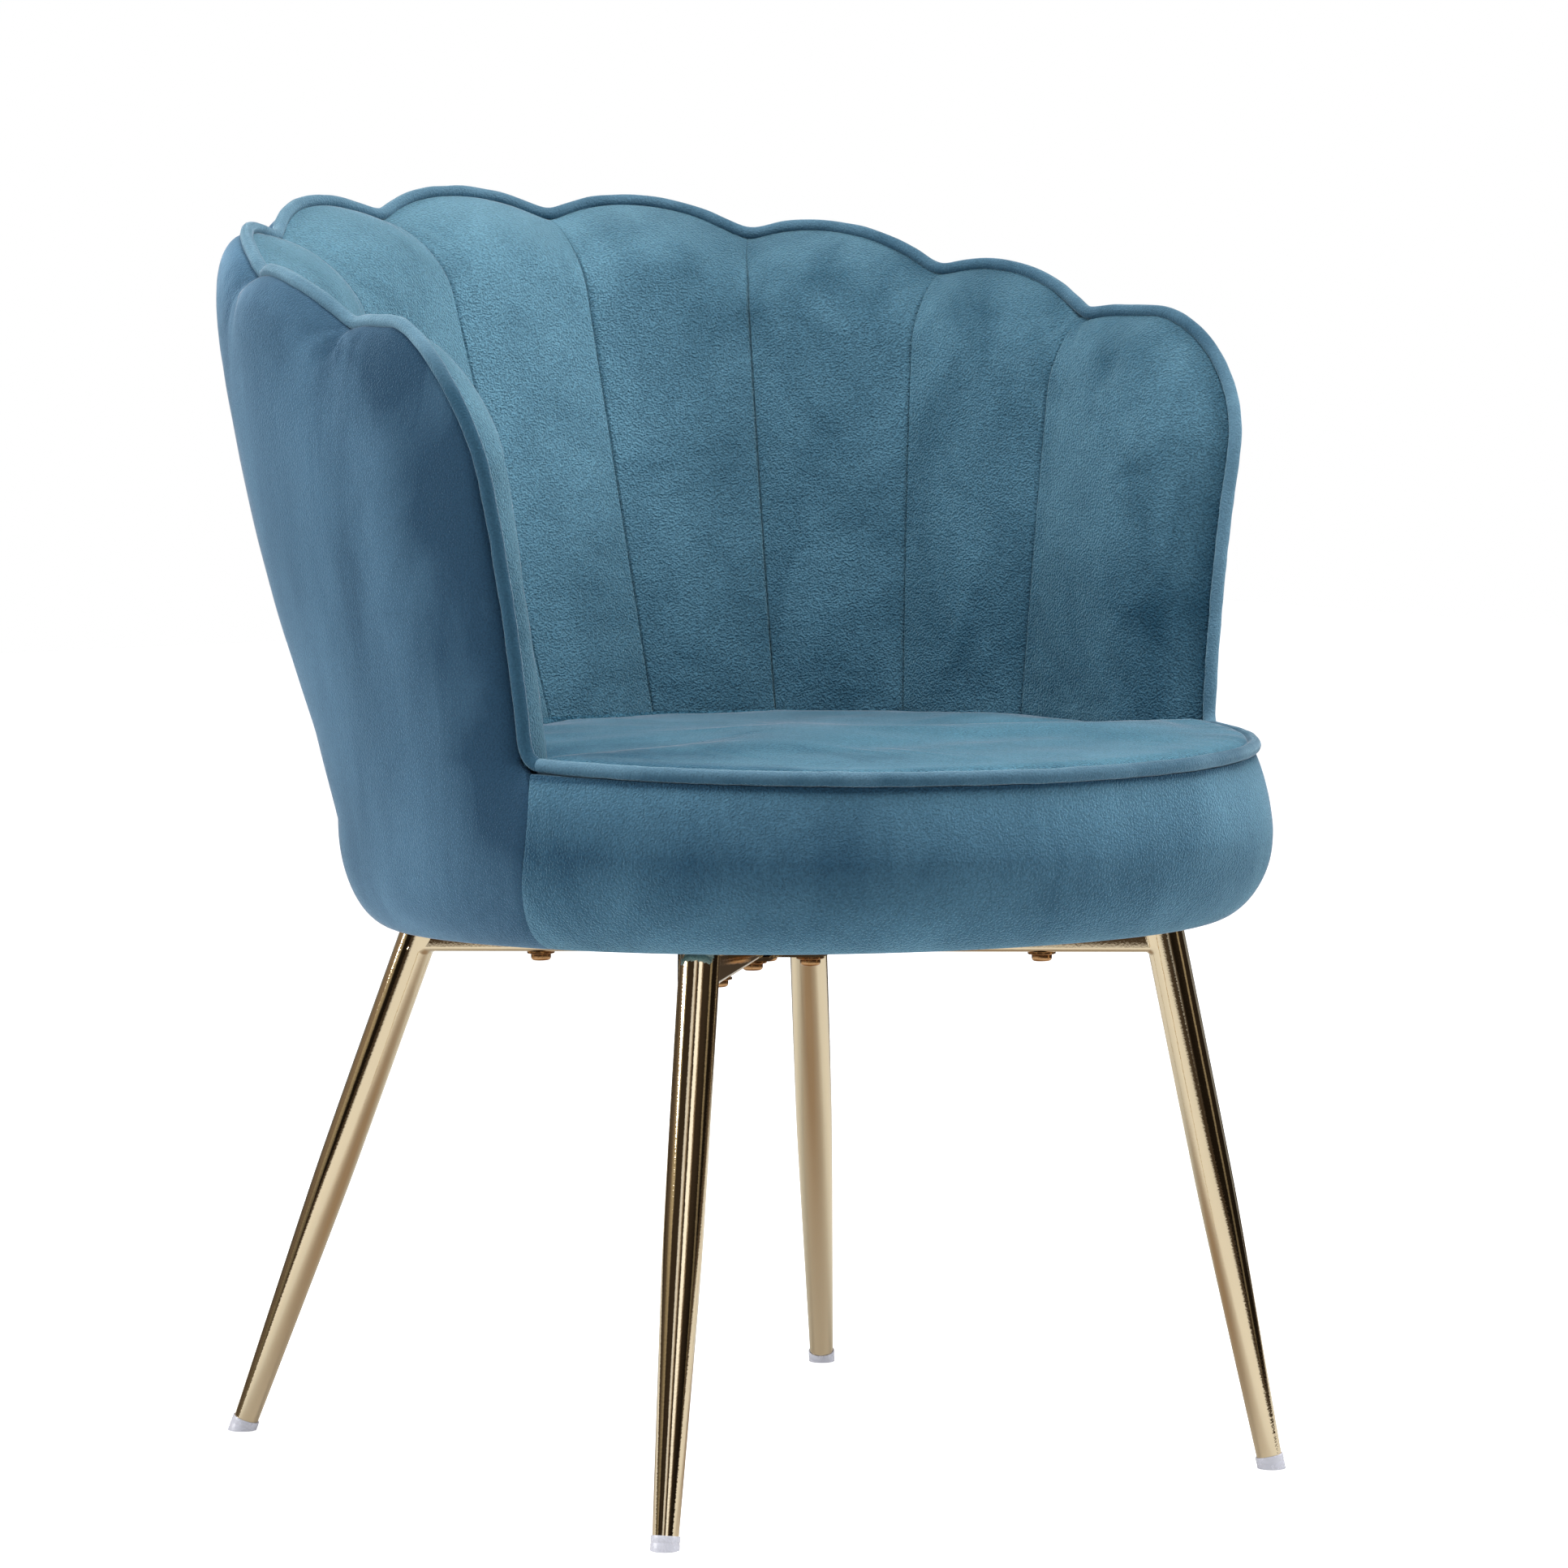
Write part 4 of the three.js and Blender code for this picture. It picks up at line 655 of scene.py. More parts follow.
black_cloth, tree = new_finish("black_nonwoven_cloth")
place = add_node(tree, "ShaderNodeTexCoord")
dots = add_node(tree, "ShaderNodeTexVoronoi",
                {"Vector": place.outputs["Object"], "Scale": 1000 / DOT_MM, "Randomness": 0.15})
fibre = add_node(tree, "ShaderNodeTexNoise",
                 {"Vector": place.outputs["Object"], "Scale": 900.0, "Detail": 5.0})
felt = add_node(tree, "ShaderNodeMix",
                {0: fibre.outputs["Fac"], 6: to_linear("#141518"), 7: to_linear("#2b2c30")},
                data_type="RGBA")
press = add_node(tree, "ShaderNodeBump",
                 {"Height": dots.outputs["Distance"], "Strength": 0.5, "Distance": 0.0004})
shader = add_node(tree, "ShaderNodeBsdfPrincipled",
                  {"Base Color": felt.outputs[2], "Roughness": 0.9,
                   "Normal": press.outputs["Normal"]})
add_node(tree, "ShaderNodeOutputMaterial", {"Surface": shader.outputs["BSDF"]})
print("other finishes:", clear_cap.name, birch_ply.name, cut_foam.name, black_cloth.name)

# %% [markdown]
# ## The outer cover
# One large cover runs round the back and both sides, from the piping down to the rim, where
# it turns under and is stapled to the seat board. Its grid bends like the cloth: the top row
# follows the petals, the side columns follow the wing fronts, and a blend of the four borders
# (a Coons patch) fills the middle. Folds fan out from each valley, where the cloth is drawn
# together by the stitches.

# %% Grid of the outer cover
PETAL_COLUMNS = 34
WING_COLUMNS = 40
CORNER_ROWS = 0.2                # share of a wing's rows that go round its corner
PETALS_PART = PETALS * PETAL_COLUMNS / (PETALS * PETAL_COLUMNS + WING_COLUMNS)


def wing_arc(share):
    turn = math.pi / 2 * share
    size = CORNER - INSET
    z = CORNER_LOW + size * np.cos(turn).clip(0) ** (2 / CORNER_POWER)
    y = -WING_FRONT_TOP + CORNER - size * np.sin(turn).clip(0) ** (2 / CORNER_POWER)
    return QUARTER + core_centre(z) - y, z


def wing_top(start, u):
    s = mix(start, front_station(WING_TOP), unit(u * 2))
    arc_s, arc_z = wing_arc(unit((u - 0.5) * 2) / 2)
    turned = u > 0.5
    return np.where(turned, arc_s, s), np.where(turned, arc_z, top_height(s) - INSET)


def wing_front(bottom, v):
    arc_s, arc_z = wing_arc(0.5 + unit(v / CORNER_ROWS) / 2)
    z = mix(CORNER_LOW, bottom, (v - CORNER_ROWS) / (1 - CORNER_ROWS))
    straight = v >= CORNER_ROWS
    return np.where(straight, front_station(z) - INSET, arc_s), np.where(straight, z, arc_z)


def coons(top, bottom, left, right, top_ends, bottom_ends, u, v):
    across = [mix(left[i], right[i], u) for i in (0, 1)]
    down = [mix(top[i], bottom[i], v) for i in (0, 1)]
    corners = [mix(mix(top_ends[0][i], top_ends[1][i], u),
                   mix(bottom_ends[0][i], bottom_ends[1][i], u), v) for i in (0, 1)]
    return [across[i] + down[i] - corners[i] for i in (0, 1)]


def cover_top(u):
    from_middle = np.abs(2 * u - 1)
    side = np.where(u < 0.5, -1.0, 1.0)
    s = LAST_SEAM * from_middle / PETALS_PART
    on_wing = from_middle > PETALS_PART
    wing_s, wing_z = wing_top(LAST_SEAM, unit((from_middle - PETALS_PART) / (1 - PETALS_PART)))
    return side * np.where(on_wing, wing_s, s), np.where(on_wing, wing_z, top_height(s) - INSET)


def cover_station(u, v):
    """Station and height on the cover above the wing's foot, for v from 0 at the edge to 1."""
    foot_end = front_station(WING_FOOT) - INSET
    top = cover_top(u)
    bottom = (mix(-foot_end, foot_end, u), np.full_like(u, WING_FOOT))
    right = wing_front(WING_FOOT, v)
    corner = [float(x) for x in wing_arc(np.array(0.5))]
    return coons(top, bottom, (-right[0], right[1]), right,
                 ((-corner[0], corner[1]), corner),
                 ((-foot_end, WING_FOOT), (foot_end, WING_FOOT)), u, v)


print("share of the top row that the petals take:", round(PETALS_PART, 3))

# %% [markdown]
# ## Folds at the valleys
# Cloth that is gathered at a point throws folds that fan out and die away. Each valley gets a
# fan of waves in polar coordinates round it. The near valleys have deeper folds in the
# photograph, so the depth varies from valley to valley.

# %% Fans of folds
valley_stations = np.arange(-3.5, 4) * PETAL
valley_places = list(zip(valley_stations, top_height(valley_stations)))


def fans(station, z, reach, waves, seed):
    rng = np.random.default_rng(seed)
    total = np.zeros(np.broadcast(station, z).shape)
    wobble = ripple(stack(station, 0.0, z), 28, seed + 40)
    for valley_s, valley_z in valley_places:
        across, below = station - valley_s, valley_z - z
        distance = np.hypot(across, below)
        angle = np.arctan2(across, np.maximum(below, 0.01)) + 0.5 * wobble
        phase, count = rng.uniform(0, 6.28), waves * rng.uniform(0.8, 1.25)
        wave = rng.uniform(0.7, 1.3) * np.cos(count * angle + phase)
        total += wave * np.exp(-distance / reach) * unit(distance / 9)
    return total


print("valleys at heights", [round(z) for _, z in valley_places[:4]])

# %% [markdown]
# ## Moving the cover's points
# Above the wing's foot the rows follow the patch. Below it they are level, then they turn under
# the rim on a quarter circle and end in a short lip beside the dust cover. The back of the
# sheet lies against the shell.

# %% Rows and points of the outer cover
FOOT_ROW, WIDE_ROW, LIP_ROW = 0.66, 0.74, 0.94       # v at the wing's foot, widest place and lip
LIP_IN, LIP_UP, BACK_UP = 3.3, 2.6, 2.2


def cover_rows(v):
    """Splits v into the share above the wing's foot, the height below it and the lip."""
    above = unit(v / FOOT_ROW) ** 1.5
    straight = unit((v - FOOT_ROW) / 0.08)
    rolling = unit((v - WIDE_ROW) / 0.2)
    lip = unit((v - LIP_ROW) / 0.06)
    z = mix(WING_FOOT, WIDEST, straight) - (WIDEST - RIM) * np.sin(math.pi / 2 * rolling)
    return above, z, lip


def cover_points(u, v, face):
    above, low_z, lip = cover_rows(v)
    s, z = cover_station(u, above)
    low = v > FOOT_ROW
    hem = unit((WING_FOOT - low_z) / 12)
    end = front_station(low_z) - mix(INSET, GAP, hem)
    s = np.where(low, mix(-end, end, u), s)
    z = np.where(low, low_z, z)
    roll_depth = mix(45, 92, unit((z - WING_FOOT) / 92))
    rolled = roll_share(from_seam(s, z, piping_line), roll_depth)
    out = outward(s)
    inner = core_point(s, z) + out * 2.4
    full = outer_full_point(s, z, LIP_IN * np.sin(math.pi / 2 * lip))
    front = mix(inner, full, rolled[..., None])
    edge_fade = unit(edge_distance(s, z, piping_line) / 12) * unit((z - RIM) / 30)
    slack = 0.5 * ripple(front, 170, 3) + 0.3 * ripple(front, 60, 4)
    slack += 1.7 * fans(s, z, 17, 8.0, 11)
    seam_tuck = 1.3 * (1 - roll_share(end - np.abs(s), 3)) * hem
    front = front + out * (slack * edge_fade - seam_tuck)[..., None]
    front = settle(front, LIP_UP * (1 - np.cos(math.pi / 2 * lip)))
    back = settle(core_point(s, z) + out * SOFT, BACK_UP * unit((v - 0.86) / 0.08))
    return np.where((face > 0.5)[..., None], front, back)


# %% [markdown]
# ## Painted light and shade on the cover
# The cover's tone is painted with light and shade: deep along the piping of the wings, a pale
# band down the second petal from each wing, dark patches under the piping, and light and dark
# streaks fanning from the valleys, all over soft random clouds. soft_pads keeps, for the cloth
# solver further down, how firmly each point is held: 1 at the stitches and staples, 0 where
# the cloth is free.

# %% The outer cover
half_columns = round(PETALS * PETAL_COLUMNS) + WING_COLUMNS
outer_cover = to_object("outer_cover", pad_grid(2 * half_columns, 96))
u, v, face = layers_of(outer_cover, "u", "v", "face")
above, low_z, _ = cover_rows(v)
cover_s, cover_z = cover_station(u, above)
cover_z = np.where(v > FOOT_ROW, low_z, cover_z)
from_piping = edge_distance(cover_s, cover_z, piping_line)
petal_count, spread = np.abs(cover_s) / PETAL, stack(cover_s, 0, cover_z)
wing = unit((petal_count - 3.4) / 0.5)
near_edge = bell(np.maximum(from_piping - 14, 0), 60)
# Painted shade near the piping: light on the petals next to each wing, deep along the wings.
lie_and_painted_light = (-0.35 * (1 - wing) * unit((petal_count - 2.5) / 0.4) - 1.5 * wing) * near_edge
# A painted pale band down the second petal from each wing.
lie_and_painted_light += 0.8 * bell(petal_count - 2.05, 0.35)
# Painted shade in patches just under the piping, away from the wings.
lie_and_painted_light -= 0.3 * bell(from_piping - 15, 13) * unit(0.3 + ripple(spread, 50, 18)) * (1 - wing)
lie_and_painted_light = lie_and_painted_light * (0.9 + 0.3 * ripple(spread, 90, 12)) + 0.2 * ripple(spread, 160, 13)
# Painted light and shade in streaks that fan out from the valleys.
lie_and_painted_light += 0.45 * fans(cover_s, cover_z, 30, 3.5, 19)
place_points(outer_cover, cover_points(u, v, face), pile_and_painted_light=lie_and_painted_light)
free = unit((from_piping - 3) / 14) * unit((cover_z - RIM - 6) / 20) * (face > 0.5)
soft_pads = [(outer_cover, 1 - free)]
belongs(outer_cover, "velvet_outer", velvet_outer, "outer_back_cover")

# %% [markdown]
# ## The nine channels
# The inside of the back is sewn into nine channels. Each is a shallow pad of its own: nearly
# flat, a little fuller in the middle, and tucked into a narrow seam on both sides. Modelling
# nine pieces gives real seams, with real shadows, where a bump map would only hint at them.

# %% Inner face of the back
PUFF = 8                         # a channel is this much fuller in its middle


def pad_depth(station, z, petals, seam_distance):
    s = np.abs(station)
    up = unit((z - SEAT) / (PAD_TOP - SEAT))
    at_side, at_back = mix(50, 30, up), mix(70, 62, up)
    depth = mix(at_side, at_back, np.maximum(0, np.cos(np.minimum(s, QUARTER) / ARC)))
    wing = mix(at_side, 33, unit((s - QUARTER) / WING_LENGTH))
    depth = np.where(s > QUARTER, wing, depth)
    across = np.minimum(np.abs(petals - np.round(petals)) * 2, 1)
    depth = depth + PUFF * (1 - across ** 2.2)
    tuck = 2.6 * (1 - roll_share(seam_distance, 2.4))
    rolled = roll_share(from_seam(s, z, pad_line), 50) ** 1.25
    return np.maximum(depth * rolled - tuck * rolled, 2.7)


def channel_face(station, z, petals, seam_distance, seed):
    depth = pad_depth(station, z, petals, seam_distance)
    flat = core_point(station, z)
    quiet = unit(edge_distance(station, z, pad_line) / 14) * unit(seam_distance / 8)
    slack = 0.9 * ripple(flat, 110, seed) + 0.35 * ripple(flat, 38, seed + 50)
    slack += 1.2 * fans(station / seam_share(z), z, 26, 7, 23)
    return flat - outward(station) * (depth + slack * quiet)[..., None]


def channel_lie_and_painted_light(station, z, seed):
    """Painted shade low down and along the edge, painted light on the left channels and up high.
    """
    below = edge_distance(station, z, pad_line)
    spot = unit(0.2 + ripple(stack(station, 0, z), 70, 31)) * unit(0.45 + station / 500)
    on_top = unit((z - CORNER_LOW) / 60) * unit((front_station(z) - np.abs(station)) / 60)
    across = (station / PETAL / seam_share(z) + 0.5) % 1 * PETAL
    toward_left = -station / PETAL
    left, far = unit((toward_left + 1.15) / 0.6), unit((toward_left - 0.5) / 0.4)
    # Painted light on the channels left of the middle, which face the key lamp, strongest higher
    # up.
    near_pale = 0.75 * left * mix(0.5, 1.0, unit((z - 520) / 160))
    paler = mix(near_pale, 0.4 * unit((z - 560) / 130), far)
    # Painted shade under the top edge of the right channels, in a strip along the edge, in
    # patches 30 mm below it and low down; a painted highlight beside each seam.
    return ((0.1 * left - 0.5 * (1 - left)) * bell(below, 16) * on_top
            - 0.7 * bell(below, 7) * (1 - on_top)
            - 0.6 * bell(below - 30, 20) * spot + paler
            + 0.12 * bell(across, 24) * unit((z - 540) / 60) * unit(0.6 - station / 400)
            - 0.3 * unit((600 - z) / 60)
            + 0.13 * ripple(stack(station, 0, z * 0.6), 120, seed))


def channel_held(station, z, seam_distance, face):
    """1 where a channel is sewn or glued, 0 where its cloth is free to swell."""
    free = unit((edge_distance(station, z, pad_line) - 3) / 14) * unit((seam_distance - 1) / 9)
    return 1 - free * unit((z - SEAT + 5) / 20) * (face > 0.5)


def channel_back(station, z):
    distance = edge_distance(station, z, pad_line)
    depth = mix(2 * SOFT, 12 + SOFT, unit((distance - 22) / 12))
    return core_point(station, z) - outward(station) * depth[..., None]


def crowded(u):
    """Moves the columns of a grid towards its two sides, where the seams need fine steps."""
    return mix(u, 0.5 - 0.5 * np.cos(math.pi * u), 0.7)


def down_rows(v):
    """Share of the way down to the seat, height below it, and which rows are below it."""
    return unit(v / 0.9) ** 1.35, mix(SEAT, KNUCKLE, unit((v - 0.9) / 0.1)), v > 0.9


print("pad depth at the middle of the back, half way up:",
      round(float(pad_depth(np.array(0.0), np.array(600.0), np.array(0.0), np.array(50.0))), 1))

# %% [markdown]
# ## Seven middle channels and two wings
# A middle channel is a plain strip between two seams, which close in towards the seat. A wing
# channel has a seam on one side and the rounded wing front on the other, so it uses the same
# four-sided patch as the cover.

# %% The channels
def finish_channel(piece, number, station, z, petals, seam_distance, face, seeds):
    """Places a channel's points and hands it over; seeds are of its slack and of its random tone.
    """
    front = channel_face(station, z, petals, seam_distance, seeds[0])
    place_points(piece, np.where((face > 0.5)[:, None], front, channel_back(station, z)),
                 pile_and_painted_light=channel_lie_and_painted_light(station, z, seeds[1]))
    soft_pads.append((piece, channel_held(station, z, seam_distance, face)))
    belongs(piece, "velvet_inner", velvet_inner, f"back_channel_{number}")


def middle_channel(index):
    piece = to_object(f"channel_{index + 5}", pad_grid(36, 110))
    u, v, face = layers_of(piece, "u", "v", "face")
    u = crowded(u)
    share, low_z, low = down_rows(v)
    petals = index - 0.5 + u
    z = np.where(low, low_z, mix(top_height(petals * PETAL) - INSET, SEAT, share))
    station = petals * PETAL * seam_share(z) + GAP / 2 * (1 - 2 * u)
    finish_channel(piece, index + 5, station, z, petals, np.minimum(u, 1 - u) * PETAL, face,
                   (60 + index, 90 + index))


def wing_channel(side, number):
    piece = to_object(f"channel_{number}", pad_grid(56, 110))
    u, v, face = layers_of(piece, "u", "v", "face")
    u = crowded(u)
    share, low_z, low = down_rows(v)
    seam_top = float(top_height(np.array(LAST_SEAM))) - INSET

    def seam(t):
        z = mix(seam_top, SEAT, t)
        return LAST_SEAM * seam_share(z) + GAP / 2, z

    start, foot = seam(np.array(0.0)), seam(np.array(1.0))
    front_foot = wing_front(SEAT, np.array(1.0))
    corner = wing_arc(np.array(0.5))
    bottom = (mix(foot[0], front_foot[0], u), np.full_like(u, SEAT))
    s, z = coons(wing_top(start[0], u), bottom, seam(share), wing_front(SEAT, share),
                 (start, corner), (foot, front_foot), u, share)
    low_s = mix(LAST_SEAM * seam_share(low_z) + GAP / 2, pad_line[0][-1] - INSET, u)
    s, z = np.where(low, mix(s, low_s, unit((v - 0.9) / 0.1)), s), np.where(low, low_z, z)
    finish_channel(piece, number, side * s, z, PETALS + u / 2, u * (front_foot[0] - LAST_SEAM),
                   face, (80 + number, 100 + number))


for index in range(-3, 4):
    middle_channel(index)
wing_channel(-1, 1)
wing_channel(1, 9)

# %% [markdown]
# ## Piping
# Piping is a cord wrapped in a bias strip of the same velvet and sewn between two covers. A
# curve with a round bevel follows the edge, and is then made a mesh. The cord is pushed about
# by the stitches, so its path and its thickness wander by a fraction of a millimetre. Each end
# of the long piping turns forward at the wing's foot and meets the piping of the seat.

# %% The seat's line and a cord along a path
CORD_STEP = 3                    # between two points of a cord
SEAT_CENTRE_Y = -90
SEAT_PIPING_R = 265.5
foot_point = core_point(np.array(float(front_station(WING_FOOT))), np.array(WING_FOOT))
START_ANGLE = math.atan2(foot_point[0], -(foot_point[1] - SEAT_CENTRE_Y))
END_ANGLE = START_ANGLE - (CORD + SEAT_CORD + GAP) / SEAT_PIPING_R


def seat_line(angle, inset=0.0, rise=0.0):
    radius = SEAT_PIPING_R - inset
    z = SEAT - 6.8 + 2.8 * (np.abs(angle) / START_ANGLE) ** 2 + rise
    return stack(radius * np.sin(angle), SEAT_CENTRE_Y - radius * np.cos(angle), z)


def corded(name, path, thick, seed, pile_and_painted_light, soft_bends=0):
    """A cord along a path; the tone function gives each point its painted light and shade from
    its place.
    """
    steps = np.linalg.norm(np.diff(path, axis=0), axis=1)
    length = np.concatenate([[0], np.cumsum(steps)])
    count = round(length[-1] / CORD_STEP)
    even = np.linspace(0, length[-1], count)
    path = np.stack([np.interp(even, length, path[:, i]) for i in range(3)], axis=1)
    for _ in range(soft_bends):
        path[1:-1] = 0.25 * path[:-2] + 0.5 * path[1:-1] + 0.25 * path[2:]
    wander = np.stack([ripple(path, 24, seed + i) for i in range(3)], axis=1) * 0.22
    ends = unit(np.minimum(even, even[-1] - even) / 12)[:, None]
    metres = (path + wander * ends + FRAME_SHIFT) / 1000
    curve = bpy.data.curves.new(name + "_path", "CURVE")
    curve.dimensions = "3D"
    curve.bevel_depth = thick / 1000
    curve.bevel_resolution = 4
    curve.use_fill_caps = True
    spline = curve.splines.new("POLY")
    spline.points.add(count - 1)
    for point, place_m, swell in zip(spline.points, metres, ripple(path, 15, seed + 7)):
        point.co = (*place_m, 1)
        point.radius = 1 + 0.035 * swell
    holder = add_object(name + "_path", curve)
    mesh = bpy.data.meshes.new_from_object(evaluated(holder))
    bpy.data.objects.remove(holder)
    bpy.data.curves.remove(curve)
    for polygon in mesh.polygons:
        polygon.use_smooth = True
    mesh.set_sharp_from_angle(angle=math.radians(50))
    write_pile_and_light(mesh, pile_and_painted_light(coordinates(mesh) * 1000))
    print(name, "is", round(length[-1]), "mm long")
    return add_object(name, mesh)


# %% Piping round the back and the seat
def back_piping_painted_light(at):
    """Painted shade down the left wing's front, painted light down the right one's, paler on top
    at the left.
    """
    down_wing = unit((CORNER_LOW + 75 - at[:, 2]) / 45)
    along_top = 0.1 - 0.5 * np.clip(at[:, 0] / 200, -1, 1)
    return along_top + np.where(at[:, 0] < 0, -1.9, 1.0) * down_wing


def seat_piping_painted_light(at):
    """Painted light on top and painted shade below, most of all on the left, and darker on the
    right.
    """
    to_right = unit((at[:, 0] + 60) / 150)
    return (0.6 - 0.7 * to_right) * np.clip((at[:, 2] - SEAT + 4) / 3, -1, 1) - 0.3 * to_right


line_s, line_z = edge_line(40, False)
right = core_point(line_s, line_z) - np.array([0, 0, CORD - 3.5])
t = np.linspace(0, 1, 9)[1:, None]
wing_foot = right[-1].copy()
seat_end = seat_line(np.array(END_ANGLE + 0.35 / SEAT_PIPING_R))
keep = right[:, 2] > WING_FOOT + 9
keep[: len(keep) // 2] = True
right = right[keep]
bend = (1 - t) ** 2 * right[-1] + 2 * t * (1 - t) * wing_foot + t ** 2 * seat_end
right = np.concatenate([right, bend])
left = right[1:][::-1] * np.array([-1, 1, 1])
back_piping = corded("edge_piping", np.concatenate([left, right]), CORD, 200, back_piping_painted_light,
                     soft_bends=6)
belongs(back_piping, "piping", velvet_piping, "back_piping")
seat_angles = np.linspace(-END_ANGLE, END_ANGLE, 240)
seat_piping = corded("seat_edge_piping", seat_line(seat_angles), SEAT_CORD, 300, seat_piping_painted_light)
belongs(seat_piping, "piping", velvet_piping, "seat_piping")

# %% [markdown]
# ## The seat cushion
# The seat is a foam pad under velvet, pulled down all round by the piping at the front and by
# the back at the sides, so it crowns a little in the middle. Its grid is rolled up into rings:
# the first row shrinks to a point in the middle of the top, the last one to a point
# underneath, and merging the doubles closes both.

# %% Rings of the cushion
APRON_WALL = 251.2               # inside radius of the apron
apron_wall_y = float(core_centre(np.array(SHELL_FOOT)))
CUSHION_Y = -80
WING_PART = 0.3                  # share of the rim's back half that lies along a wing


def back_rim(t, z):
    """The rim along the channels, t from 0 at the right wing front to 1 at the left."""
    half = 1 - 2 * np.abs(t - 0.5)
    side = np.where(t < 0.5, 1.0, -1.0)
    low, high = [], []
    for height, store in ((KNUCKLE, low), (SEAT, high)):
        height = np.full_like(half, height)
        front = pad_line[0][-1] - INSET if store is low else front_station(np.array(SEAT)) - INSET
        seam = LAST_SEAM * seam_share(height) + GAP / 2
        on_wing = half < WING_PART
        share = unit(half / WING_PART)
        wing_s = mix(front, seam, share)
        petals = PETALS * (1 - (half - WING_PART) / (1 - WING_PART))
        petals = np.where(on_wing, 4 - share / 2, petals)
        station = np.where(on_wing, wing_s, petals * PETAL * seam_share(height))
        depth = pad_depth(station, height, petals, np.full_like(half, 50.0))
        point = core_point(station, height) - outward(station) * (depth + SOFT)[:, None]
        corner = np.exp(-half / 0.004)[:, None]
        store.append(point + corner * np.array([-SOFT, -SOFT, 0]))
    share = ((z - KNUCKLE) / (SEAT - KNUCKLE))[:, None]
    point = mix(low[0], high[0], share)
    point[:, 0] *= side
    point[:, 2] = z
    return point


def front_rim(t, inset, rise):
    return seat_line(mix(-END_ANGLE, END_ANGLE, t), inset, rise)


def front_wall(t, z):
    radius = APRON_WALL - SOFT
    angle = mix(-1, 1, t) * math.acos((apron_wall_y + WING_FRONT_SEAT - 3.5 + SOFT) / radius)
    return stack(radius * np.sin(angle), apron_wall_y - radius * np.cos(angle), z)


cushion_back = back_rim(np.array([0.5]), np.array([BACK_RIM]))[0, 1]
print("cushion is", round(float(cushion_back - SEAT_CENTRE_Y + SEAT_PIPING_R)), "mm deep")

# %% [markdown]
# ## Shaping the cushion
# Going down the rows: the crown, a tight turn at the rim, the flange under the piping, the
# wall behind the apron and the flat underside. The crown sinks towards the back corners, where
# people slide in, and bulges at the front. The cover is drawn down hard by the piping, so
# short gathers run inward from the rim.

# %% The seat cushion
BACK_PART, CROWN_ROWS = 0.55, 0.62      # shares of the grid that lie at the back and on top


def cushion_points(u, v):
    t_back, t_front = unit(u / BACK_PART), unit((u - 0.5567) / 0.44)
    on_back = (u <= BACK_PART + 0.00001) | (u > 0.99999)
    t_back = np.where(u > 0.99999, 0.0, t_back)
    r = 1 - (1 - unit(v / CROWN_ROWS)) ** 1.35
    edge, under = unit((v - CROWN_ROWS) / 0.08), unit((v - 0.70) / 0.08)
    wall, base = unit((v - 0.78) / 0.12), unit((v - 0.90) / 0.10)
    back = back_rim(t_back, mix(BACK_RIM - 3.5 * edge, KNUCKLE, wall))
    ahead = front_rim(t_front, SEAT_CORD - 0.4, mix(SEAT_CORD * 0.45, -SEAT_CORD, edge))
    wall_z = mix(front_rim(t_front, SEAT_CORD, -SEAT_CORD)[:, 2], KNUCKLE, wall)
    inner = front_wall(t_front, wall_z)
    ahead = mix(ahead, inner, under[:, None])
    rim = np.where(on_back[:, None], back, ahead)
    middle = np.array([0, CUSHION_Y, BACK_RIM])
    top = mix(middle, rim, r[:, None])
    from_corner = unit((1 - 2 * np.abs(t_back - 0.5)) / 0.12)
    sunk = 2.6 * unit((r - 0.93) / 0.07) ** 2 + 3.2 * unit((r - 0.75) / 0.25) ** 2 * from_corner
    bulge = 4.5 - 1.5 * unit(-top[:, 0] / 150) * unit((r - 0.5) / 0.4)
    tilt = 0.014 * top[:, 0] * unit((r - 0.4) / 0.5) * from_corner
    front_rise = bulge * roll_share((1 - r) * 250, 14)
    top[:, 2] += np.where(on_back, 4.5 * (1 - r ** 2.4) - sunk + tilt, front_rise)
    swell = 0.7 * ripple(top, 170, 5) + 0.25 * ripple(top, 45, 6)
    around = np.where(on_back, t_back * 90, t_front * 70)
    gathers = 0.35 * np.sin(around * 2.1 + 2 * np.sin(around * 0.37))
    gathers = gathers * np.exp(-(1 - r) * 260 / 14)
    top[:, 2] += (swell * unit((1 - r) * 12) + gathers * unit((1 - r) * 60)) * (r < 1)
    floor = mix(rim, np.array([0, CUSHION_Y, KNUCKLE]), base[:, None])
    return np.where((v <= CROWN_ROWS)[:, None], top, floor)


seat_cushion = to_object("seat_pad", flat_grid(300, 90)[0])
u, v = layers_of(seat_cushion, "u", "v")
pad = cushion_points(u, v)
lie_and_painted_light = 0.35 * ripple(pad * np.array([1, 0.5, 1]), 150, 14) + 0.25 * ripple(pad, 60, 15) + 0.15
# Painted shade on the left of the seat, deepest at the far left, over random unevenness of the
# pile.
lie_and_painted_light -= 0.35 * unit((-pad[:, 0] - 30) / 160) + 0.6 * unit((-pad[:, 0] - 150) / 60)
place_points(seat_cushion, pad, merge=True, crisp=60, pile_and_painted_light=lie_and_painted_light)
belongs(seat_cushion, "velvet_inner", velvet_seat, "seat_cushion")

# %% [markdown]
# ## The front apron
# The apron is a padded band under the seat piping. It swells out below the piping, is fullest
# two thirds of the way down and turns under the rim like the cover, which it meets at a plain
# seam on each side. Tiny puckers hang from the piping where the seam eases the cloth in. Its
# inner wall stands upright round the board and comes forward a little at its foot.

# %% Points of the apron
HALF_SPAN = 300                  # along the apron from its middle to a side seam


